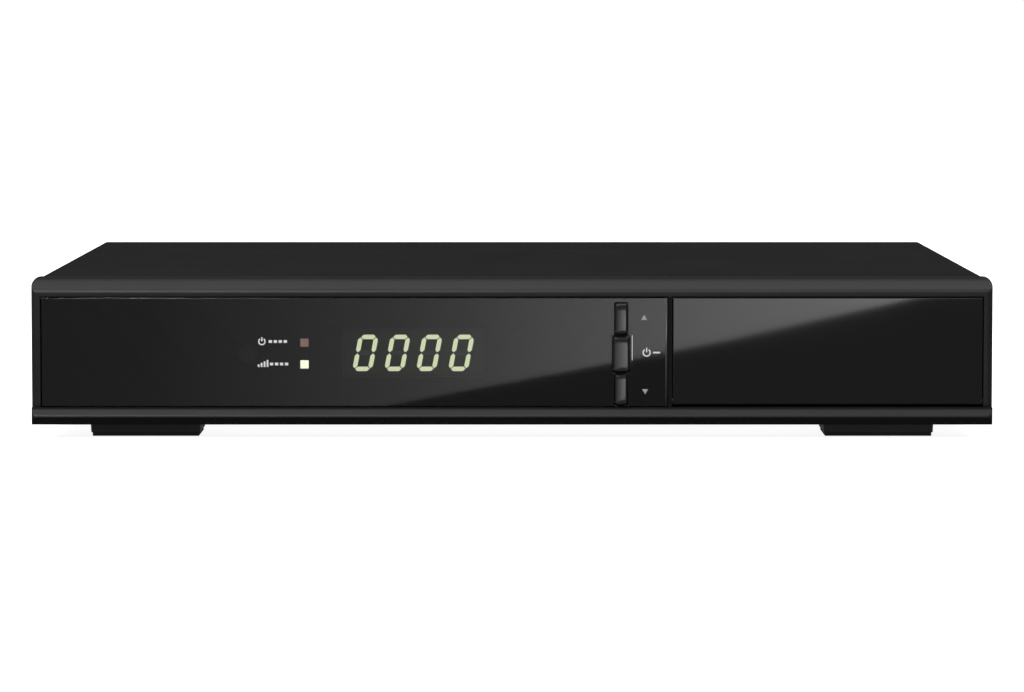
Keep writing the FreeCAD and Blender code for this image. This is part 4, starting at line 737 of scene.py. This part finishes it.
finish("print_ink", greys(0.72, 0.8), (0.4, 0.5))
window_low, window_high = mm(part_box("front_window"))
marks = bmesh.new()
standby(marks, -67.6, 26.6, radius=0.85, stroke=0.36, stem=0.6, tall=1.1)
caption(marks, -65.3, 26.6)
for step, tall in enumerate((0.7, 1.1, 1.5, 1.9)):
    bar(marks, -68.5 + 0.8 * step, 19.7 + tall / 2, width=0.5, height=tall)
caption(marks, -65.0, 20.5)
standby(marks, 36.4, 23.6, radius=0.95, stroke=0.34, stem=0.7, tall=1.2)
bar(marks, 39.1, 23.6, width=1.9, height=0.45)
bar(marks, 32.5, 24.9, width=0.2, height=6.8)
film(marks, window_low.y - FILM)
new_piece("front_marks", marks, "print_ink", "case")

# %% Arrows beside the keys
finish("grey_ink", greys(0.3, 0.36), (0.4, 0.5))
arrows = bmesh.new()
arrow(arrows, 35.7, 32.9, size=0.95, turn=0)
arrow(arrows, 36.0, 13.2, size=0.95, turn=math.pi)
film(arrows, window_low.y - FILM)
new_piece("key_arrows", arrows, "grey_ink", "case")

# %% [markdown]
# ## Domed keys
# A moulded key isn't flat: its front is a shallow cushion, so that a finger finds its middle and a
# long light stretches into a soft bar down its length. A grid with a raised middle gives that
# shape, and its rim lies on the flat of the key below. A subdivided box would need creases to keep
# its corners.

# %% Cushions on the keys
KEY_LEAN = math.tan(math.radians(1.5))
KEY_LIFT, KEY_CROWN, KEY_SINK = 0.14, 0.07, 0.05
CORNER_PINCH, FLATNESS = 0.12, 8
KEY_CAPS = {"up_button": (3.0, 8.0), "power_button": (4.1, 9.3), "down_button": (3.0, 8.0)}


def cushion(name, key, body, width, height):
    """A shallow cushion that covers the front of one key."""
    low, high = mm(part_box(key))
    middle = (low + high) / 2
    form = bmesh.new()
    bmesh.ops.create_grid(form, x_segments=12, y_segments=20, size=0.5)
    for vert in form.verts:
        across, up = 2 * vert.co.x, 2 * vert.co.y
        rise = KEY_CROWN * (1 - across ** 2) * (1 - up ** FLATNESS) - up * height / 2 * KEY_LEAN
        reach = across * (1 - CORNER_PINCH * up ** FLATNESS) * width / 2
        vert.co = (middle.x + reach, low.y - KEY_LIFT - rise, middle.z + up * height / 2)
    for vert in verts_of(bmesh.ops.extrude_face_region(form, geom=form.faces[:])):
        vert.co.y = low.y + KEY_SINK
    new_piece(name, form, "key_plastic", body, smooth=True)


for key, (width, height) in KEY_CAPS.items():
    key_body = key.replace("_button", "_key")
    cushion(key_body + "_cushion", key, key_body, width, height)

# %% [markdown]
# ## The window's edge
# The window ends in a rounded bead beside the door, which catches light as one fine line. It is a
# slim rod, half sunk in the window. A bevel on the window itself would do the same, but the
# window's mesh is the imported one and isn't changed.

# %% A bead down the window's edge
BEAD_RADIUS, BEAD_INSET, BEAD_FROM_ENDS = 0.28, 0.05, 0.3
bead_long = window_high.z - window_low.z - 2 * BEAD_FROM_ENDS
bead_x = window_high.x - BEAD_RADIUS - BEAD_INSET
bead_z = window_low.z + BEAD_FROM_ENDS + bead_long / 2
bead = bmesh.new()
bmesh.ops.create_cone(bead, cap_ends=True, segments=20, radius1=BEAD_RADIUS, radius2=BEAD_RADIUS,
                      depth=bead_long, matrix=Matrix.Translation((bead_x, window_low.y, bead_z)))
finish("bead_satin", greys(0.04, 0.055), (0.3, 0.4), depth=0.003)
new_piece("window_edge_bead", bead, "bead_satin", "case", smooth=True)

# %% [markdown]
# ## Turned and threaded pieces
# The aerial sockets are turned from brass, threaded and plated. A lathe works ring by ring, and so
# does this helper: it starts from a circle, extrudes its edge, and gives each new ring its place
# along the axis and its radius. Where the radius also depends on the angle round the axis, the
# rings follow a screw thread without a seam.


# %% A lathe for rings
def set_ring(verts, place, along, radius):
    """Every vertex keeps its angle round the axis and takes a new distance and radius."""
    away = place.inverted()
    for vert in verts:
        local = away @ vert.co
        angle = math.atan2(local.y, local.x)
        reach = radius(angle, along) if callable(radius) else radius
        vert.co = place @ Vector((reach * math.cos(angle), reach * math.sin(angle), along))


def turned(form, place, stations, segments=28):
    """A closed round shape along the place's Z; a station is a distance and a radius."""
    start, first = stations[0]
    made = bmesh.ops.create_circle(form, cap_ends=True, segments=segments, radius=1.0,
                                   matrix=place @ Matrix.Translation((0, 0, start)))
    verts = made["verts"]
    edges = [e for e in {e for v in verts for e in v.link_edges} if all(v in verts for v in e.verts)]
    set_ring(verts, place, start, first)
    for along, radius in stations[1:]:
        grown = bmesh.ops.extrude_edge_only(form, edges=edges)
        verts = verts_of(grown)
        edges = [e for e in grown["geom"]
                 if isinstance(e, bmesh.types.BMEdge) and all(v in verts for v in e.verts)]
        set_ring(verts, place, along, radius)
    bmesh.ops.contextual_create(form, geom=edges)


print("lathe ready")

# %% [markdown]
# ## Threaded aerial sockets
# Each socket is a barrel with a fine thread, a plain root under its nut and a bore for the plug. A
# thread cut by a Boolean is slow and leaves slivers, while rings whose radius follows the thread's
# angle close by themselves.

# %% Two threaded barrels
REAR_AXIS = Matrix.Rotation(-math.pi / 2, 4, "X")
PITCH, CREST, ROOT = 0.79, 4.74, 4.3
PLAIN, LIP, BORE = 4.55, 3.55, 3.4
FADE, RINGS_PER_TURN = 0.6 * PITCH, 6
barrels_low, barrels_high = mm(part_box("lnb_barrels"))
SOCKET_Z = (barrels_low.z + barrels_high.z) / 2
SOCKET_X = (barrels_low.x + CREST, barrels_high.x - CREST)
THREAD_START, THREAD_END = barrels_low.y + 3.2, barrels_high.y - 0.9
BORE_FLOOR = barrels_high.y - 7.9


def rear_place(x, z):
    """A place on an axis that runs straight back at x, z."""
    return Matrix.Translation((x, 0, z)) @ REAR_AXIS


def thread(angle, along):
    """The radius of a single-start thread, which fades out at both ends."""
    phase = (along / PITCH - angle / (2 * math.pi)) % 1
    fade = min(1, (along - THREAD_START) / FADE, (THREAD_END - along) / FADE)
    return ROOT + (CREST - ROOT) * max(0, fade) * (1 - abs(2 * phase - 1))


steps = int((THREAD_END - THREAD_START) / (PITCH / RINGS_PER_TURN))
profile = [(barrels_low.y, PLAIN), (THREAD_START - 0.3, PLAIN), (THREAD_START - 0.2, ROOT)]
profile += [(THREAD_START + (THREAD_END - THREAD_START) * i / steps, thread) for i in range(steps + 1)]
profile += [(barrels_high.y - 0.3, ROOT), (barrels_high.y, ROOT - 0.25), (barrels_high.y, LIP),
            (barrels_high.y - 0.2, BORE), (BORE_FLOOR, BORE)]
sockets = bmesh.new()
for x in SOCKET_X:
    turned(sockets, rear_place(x, SOCKET_Z), profile, segments=36)
barrels = new_piece("threaded_barrels", sockets, "nickel", "case")
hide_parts("lnb_barrels")

# %% [markdown]
# ## Insulators and centre contacts
# Every round socket holds a white core with a contact down its middle. Core and contact are turned
# as two closed shapes, one inside the other with a little air between, so that each keeps its own
# finish. The contacts of the jacks are wider tubes, for a thicker pin.

# %% Cores and contacts
COLLAR_NODES = ("video_jack_collar", "left_audio_jack_collar", "right_audio_jack_collar")
JACK_X = [sum(corner.x for corner in mm(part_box(node))) / 2 for node in COLLAR_NODES]
shells_low, shells_high = mm(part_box("jack_shells"))
JACK_Z = (shells_low.z + shells_high.z) / 2
CORE_SET = 1.0
AERIAL_CORE = ((-0.3, 3.35), (0, 3.1), (0, 1.1), (-0.8, 0.75), (-5, 0.75))
AERIAL_CONTACT = ((-5, 0.7), (-0.8, 0.7), (-0.8, 0.5), (-4, 0.5))
JACK_CORE = ((-0.3, 3.25), (0, 3.0), (0, 2.2), (-0.4, 2.0), (-7, 2.0))
JACK_CONTACT = ((-7, 1.95), (-0.5, 1.95), (-0.5, 1.6), (-6.5, 1.6))
cores, contacts = bmesh.new(), bmesh.new()


def fill_socket(place, floor, front, core, contact, segments):
    """A white core from the socket's floor to its front, and the contact inside it."""
    core_from_floor = [(floor, core[0][1]), *((front + along, radius) for along, radius in core)]
    turned(cores, place, core_from_floor)
    turned(contacts, place, [(front + along, radius) for along, radius in contact], segments)


for x in SOCKET_X:
    fill_socket(rear_place(x, SOCKET_Z), BORE_FLOOR, barrels_high.y - CORE_SET,
                AERIAL_CORE, AERIAL_CONTACT, segments=16)
for x in JACK_X:
    fill_socket(rear_place(x, JACK_Z), shells_low.y, shells_high.y - CORE_SET,
                JACK_CORE, JACK_CONTACT, segments=20)
insulators = new_piece("insulator_cores", cores, "insulator_white", "case")
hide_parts("socket_insulators")
new_piece("centre_contacts", contacts, "nickel", "case")

# %% [markdown]
# ## Spring wires and gold fingers
# Sockets look real when their contacts can be seen: eight spring wires that lean down into the
# network socket, and two rows of gold fingers on the tongue of the digital video socket. Each is
# a small block from one bmesh cube, so a whole row costs only a few faces.

# %% Gold contacts
WIRE_PITCH, WIRE_SIZE, WIRE_LEAN = 1.02, (0.34, 8.6, 0.22), -0.32
FINGER_PITCH, FINGER_SIZE = 1.0, (0.3, 6.0, 0.1)


def block_at(form, centre, size, lean=0.0):
    """A small block, leaning about X."""
    place = Matrix.Translation(centre) @ Matrix.Rotation(lean, 4, "X") @ Matrix.Diagonal((*size, 1))
    bmesh.ops.create_cube(form, size=1.0, matrix=place)


network_low, network_high = mm(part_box("ethernet_jack"))
video_low, video_high = mm(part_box("hdmi_socket"))
network_x, video_x = (network_low.x + network_high.x) / 2, (video_low.x + video_high.x) / 2
fingers = bmesh.new()
for step in range(8):
    wire_x = network_x + (step - 3.5) * WIRE_PITCH
    block_at(fingers, (wire_x, network_high.y - 6.2, network_low.z + 10.6), WIRE_SIZE, WIRE_LEAN)
for step in range(9):
    for side in (-1, 1):
        finger_x = video_x + (step - 4) * FINGER_PITCH + side * 0.25
        block_at(fingers, (finger_x, video_high.y - 4.6, video_low.z + 3.6 + side * 0.62), FINGER_SIZE)
finish("contact_gold", ((0.75, 0.5, 0.18), (0.85, 0.62, 0.28)), (0.2, 0.32), metal=1.0, grain=2.0,
       depth=0.003)
new_piece("gold_fingers", fingers, "contact_gold", "case")

# %% [markdown]
# ## The metal skirt of the wide socket
# The wide audio and video socket has a thin metal skirt round its tongue, with one slanted corner
# so that the plug fits only one way. It starts as a flat outline whose edges are extruded back,
# and Solidify's operator gives the sheet its thickness.

# %% A skirt of sheet metal
SKIRT_WIDE, SKIRT_TALL, SKIRT_SLANT = 21.85, 5.05, 2.0
SKIRT_SET, SKIRT_DEEP, SKIRT_SHEET = 0.4, 8, 0.3
scart_low, scart_high = mm(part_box("scart_socket"))
scart_middle = (scart_low + scart_high) / 2
skirt = bmesh.new()
bmesh.ops.create_grid(skirt, x_segments=1, y_segments=1, size=1.0)
for vert in skirt.verts:
    slant = SKIRT_SLANT if vert.co.x < 0 and vert.co.y > 0 else 0
    vert.co = (scart_middle.x + math.copysign(SKIRT_WIDE, vert.co.x) + slant, scart_high.y - SKIRT_SET,
               scart_middle.z + math.copysign(SKIRT_TALL, vert.co.y))
bmesh.ops.delete(skirt, geom=skirt.faces[:], context="FACES_ONLY")
grown = bmesh.ops.extrude_edge_only(skirt, edges=skirt.edges[:])
bmesh.ops.translate(skirt, verts=verts_of(grown), vec=(0, -SKIRT_DEEP, 0))
bmesh.ops.recalc_face_normals(skirt, faces=skirt.faces)
bmesh.ops.solidify(skirt, geom=skirt.faces[:], thickness=SKIRT_SHEET)
new_piece("scart_skirt", skirt, "tin_plate", "case")

# %% [markdown]
# ## Cross-recessed screws
# The screws of the cover have domed heads with a cross recess. Each head is turned, and a Boolean
# modifier cuts the cross, because a recess with sharp corners is what a Boolean does best. The cut
# mesh is kept and the modifier goes, so that nothing is left to work out later.

# %% Screws and their crosses
HEAD = ((-3.8, 1.0), (-3.4, 1.3), (0.0, 1.3), (0.0, 2.7), (0.15, 2.8), (0.7, 2.8), (1.1, 2.55), (1.4, 2.0),
        (1.55, 1.2), (1.58, 0.4))
HEAD_TALL = 1.6
SIDE_Y, SIDE_Z = 55.5, 9.0
REAR_X, REAR_Z = 96, 40.25
CROSS_DEPTH, CROSS_RADII, CROSS_MIDDLE, ARM = 1.0, (0.9, 1.9), 1.2, 0.24
FIRST_TURN, NEXT_TURN = 0.4, 0.7
screws_high = mm(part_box("cover_screws"))[1]
spots = [Matrix.Translation((side * (screws_high.x - HEAD_TALL), SIDE_Y, SIDE_Z))
         @ Matrix.Rotation(side * math.pi / 2, 4, "Y") for side in (-1, 1)]
spots += [Matrix.Translation((side * REAR_X, screws_high.y - HEAD_TALL, REAR_Z)) @ REAR_AXIS
          for side in (-1, 1)]
screws, crosses = bmesh.new(), bmesh.new()
for count, spot in enumerate(spots):
    turned(screws, spot, HEAD, segments=32)
    for quarter in (0, math.pi / 2):
        turn = Matrix.Rotation(FIRST_TURN + NEXT_TURN * count + quarter, 4, "Z")
        arm = Matrix.Diagonal((1, ARM, 1, 1)) @ Matrix.Rotation(math.pi / 4, 4, "Z")
        bmesh.ops.create_cone(crosses, cap_ends=True, segments=4, radius1=CROSS_RADII[0],
                              radius2=CROSS_RADII[1], depth=CROSS_DEPTH,
                              matrix=spot @ turn @ Matrix.Translation((0, 0, CROSS_MIDDLE)) @ arm)
covers = new_piece("cross_head_screws", screws, "screw_black", "case")
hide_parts("cover_screws")

# %% Cut the crosses
cutter = link_up("screw_crosses", to_metres(crosses))
recess = covers.modifiers.new("recess", "BOOLEAN")
recess.operation = "DIFFERENCE"
recess.solver = "EXACT"
recess.use_self = True
recess.object = cutter
finished = covers.evaluated_get(bpy.context.evaluated_depsgraph_get())
cut_mesh = bpy.data.meshes.new_from_object(finished)
covers.modifiers.clear()
covers.data = cut_mesh
bpy.data.objects.remove(cutter)
print("screws cut to", len(cut_mesh.polygons), "faces")

# %% [markdown]
# ## Marks on the rocker
# A mains rocker carries a bar and a ring for on and off. The rocker's face is two flats that lean
# apart, so each mark is laid on its own flat, and both ride with the rocker.

# %% Bar and ring on the rocker
ROCKER_AXIS = Vector((81, 89.3, 24))
ROCKER_FACE, ROCKER_LEAN = 3.0, math.radians(10)
MARK_OFF = 4.3
rocker_marks = bmesh.new()
bar(rocker_marks, 0, MARK_OFF, width=0.6, height=2.8)
ring(rocker_marks, 0, -MARK_OFF, radius=1.35, stroke=0.5, opening=0.01)
bmesh.ops.remove_doubles(rocker_marks, verts=rocker_marks.verts, dist=0.01)
film(rocker_marks)
at_rest = Matrix.Translation(ROCKER_AXIS) @ Matrix.Rotation(-ROCKER_LEAN, 4, "X")
for vert in rocker_marks.verts:
    flat = Matrix.Rotation(math.copysign(ROCKER_LEAN, -vert.co.z), 4, "X")
    vert.co = at_rest @ (Vector((0, ROCKER_FACE, 0)) + flat @ vert.co)
new_piece("rocker_marks", rocker_marks, "print_ink", "rocker")

# %% [markdown]
# ## Studio
# A pale floor that glows a little, a white wall all round that only the camera sees, big soft
# lights, and one light card. The floor is hidden from mirror rays, because a dark polished front
# would otherwise show it.


# %% Floor and backdrop
def studio_white(name, base, rough, glow):
    """A white that gives some light of its own."""
    material = start_material(name)
    shader = shader_of(material)[1]
    shader.inputs["Base Color"].default_value = (*grey(base), 1)
    shader.inputs["Roughness"].default_value = rough
    light_up(material, (1, 1, 1), glow)
    return material


def stage_piece(name, form, material, unseen):
    """A piece of the studio, not of the receiver, and the rays that don't see it."""
    piece = link_up(name, form)
    piece.data.materials.append(material)
    for ray in unseen:
        setattr(piece, "visible_" + ray, False)
    return piece


STUDIO_REACH = 4.0
floor_form, wall_form = bmesh.new(), bmesh.new()
bmesh.ops.create_grid(floor_form, x_segments=1, y_segments=1, size=STUDIO_REACH,
                      matrix=Matrix.Translation((0, 0, -0.1 * MM)))
stage_piece("floor", floor_form, studio_white("stage_white", base=0.6, rough=0.9, glow=0.9),
            ("glossy", "diffuse", "transmission"))
bmesh.ops.create_cone(wall_form, cap_ends=False, segments=64, radius1=STUDIO_REACH, radius2=STUDIO_REACH,
                      depth=2 * STUDIO_REACH)
stage_piece("backdrop", wall_form, studio_white("backdrop_white", base=0.0, rough=0.5, glow=1.0),
            ("glossy", "diffuse", "transmission", "shadow"))
print("floor and backdrop in place")

# %% [markdown]
# ## The light card
# A polished black front gets its slanting reflection from a card: a lit sheet that stands low in
# front of it, out of the frame. Here only mirror rays see it. Its outline is drawn on the front in
# millimetres, as the reflection should look, and each corner is sent to where the mirror shows it.
# Its light grows from left to right through a colour ramp. A reflection painted on the window
# would stay where it is when the door opens, and this one doesn't.

# %% Card
CARD_AWAY = 1.0
FRONT = cad_low.y + 1.5 * MM
REACH = CAMERA_BACK + FRONT
GROW = (REACH + CARD_AWAY) / REACH
CARD_OUTLINE = ((-190, -20.3), (3.5, 16.3), (31.9, 21.7), (59, 27.1), (101, 36.6), (150, 47.8), (150, 70),
                (-190, 70))
LEVELS = ((0.0, 0.3), (0.12, 0.34), (0.26, 0.56), (0.375, 0.8), (0.45, 1.05), (0.53, 1.45), (0.6, 1.8),
          (0.715, 2.4), (0.84, 3.0), (0.9, 3.6), (1.0, 3.9))
BRIGHTEST = 4.0


def card_point(x, z):
    """The point on the card, in metres, that the polished front at x, z mirrors to the camera."""
    return (x * MM * GROW, FRONT - CARD_AWAY, CAMERA_HEIGHT + (z * MM - CAMERA_HEIGHT) * GROW)


def make_card_light():
    """Light that grows along X by the levels."""
    material = start_material("card_light")
    tree = material.node_tree
    tree.nodes.clear()
    across = fade_in(tree, object_axes(tree)["X"], cad_low.x * GROW, cad_high.x * GROW)
    levels = add_node(tree, "ShaderNodeValToRGB", {"Fac": across})
    stops = levels.color_ramp.elements
    while len(stops) < len(LEVELS):
        stops.new(0.5)
    for stop, (place, level) in zip(stops, LEVELS):
        stop.position = place
        stop.color = (*grey(level / BRIGHTEST), 1)
    glow = add_node(tree, "ShaderNodeEmission", {"Color": levels.outputs["Color"], "Strength": BRIGHTEST})
    add_node(tree, "ShaderNodeOutputMaterial", {"Surface": glow.outputs[0]})
    return material


card_form = bmesh.new()
card_form.faces.new([card_form.verts.new(card_point(*corner)) for corner in CARD_OUTLINE])
card = stage_piece("light_card", card_form, make_card_light(),
                   ("camera", "diffuse", "shadow", "transmission"))
print("card corners", [[round(v, 3) for v in corner.co] for corner in card.data.vertices])

# %% [markdown]
# ## Lights and world
# One wide soft box overhead lights the cover, a smaller one in front lights the brow and chin, and
# a weak one behind lights the sockets. The world is a plain grey that gets lighter upwards, and it
# is darkest at the horizon and below, where the unlit part of the polished front looks.

# %% Soft boxes and world
BOXES = {
    "overhead_box": ((0, 0.2, 2.4), (0, 0.2, 0), (4.6, 4.2), 42),
    "front_box": ((-0.9, -2.0, 1.5), (0, 0, 0.02), (1.6, 1.2), 60),
    "rear_box": ((0.9, 2.2, 1.7), (0, 0, 0.02), (1.6, 1.2), 20),
}
HORIZON, ZENITH = (0.23, 0.23, 0.235), (0.55, 0.55, 0.55)
for name, (place, aim, size, power) in BOXES.items():
    data = bpy.data.lights.new(name, "AREA")
    data.shape = "RECTANGLE"
    data.size, data.size_y = size
    data.energy = power
    light = add_object(name, data)
    light.location = place
    light.rotation_euler = (Vector(aim) - Vector(place)).to_track_quat("-Z", "Y").to_euler()

world = bpy.data.worlds.new("studio")
bpy.context.scene.world = world
world.use_nodes = True
tree = world.node_tree
looking = add_node(tree, "ShaderNodeTexCoord").outputs["Generated"]
upward = fade_in(tree, add_node(tree, "ShaderNodeSeparateXYZ", {0: looking}).outputs["Z"], 0.0, 1.0)
give(tree, tree.nodes["Background"].inputs["Color"], tint(tree, upward, HORIZON, ZENITH))
print("lights", len(BOXES), "world from", HORIZON, "to", ZENITH)
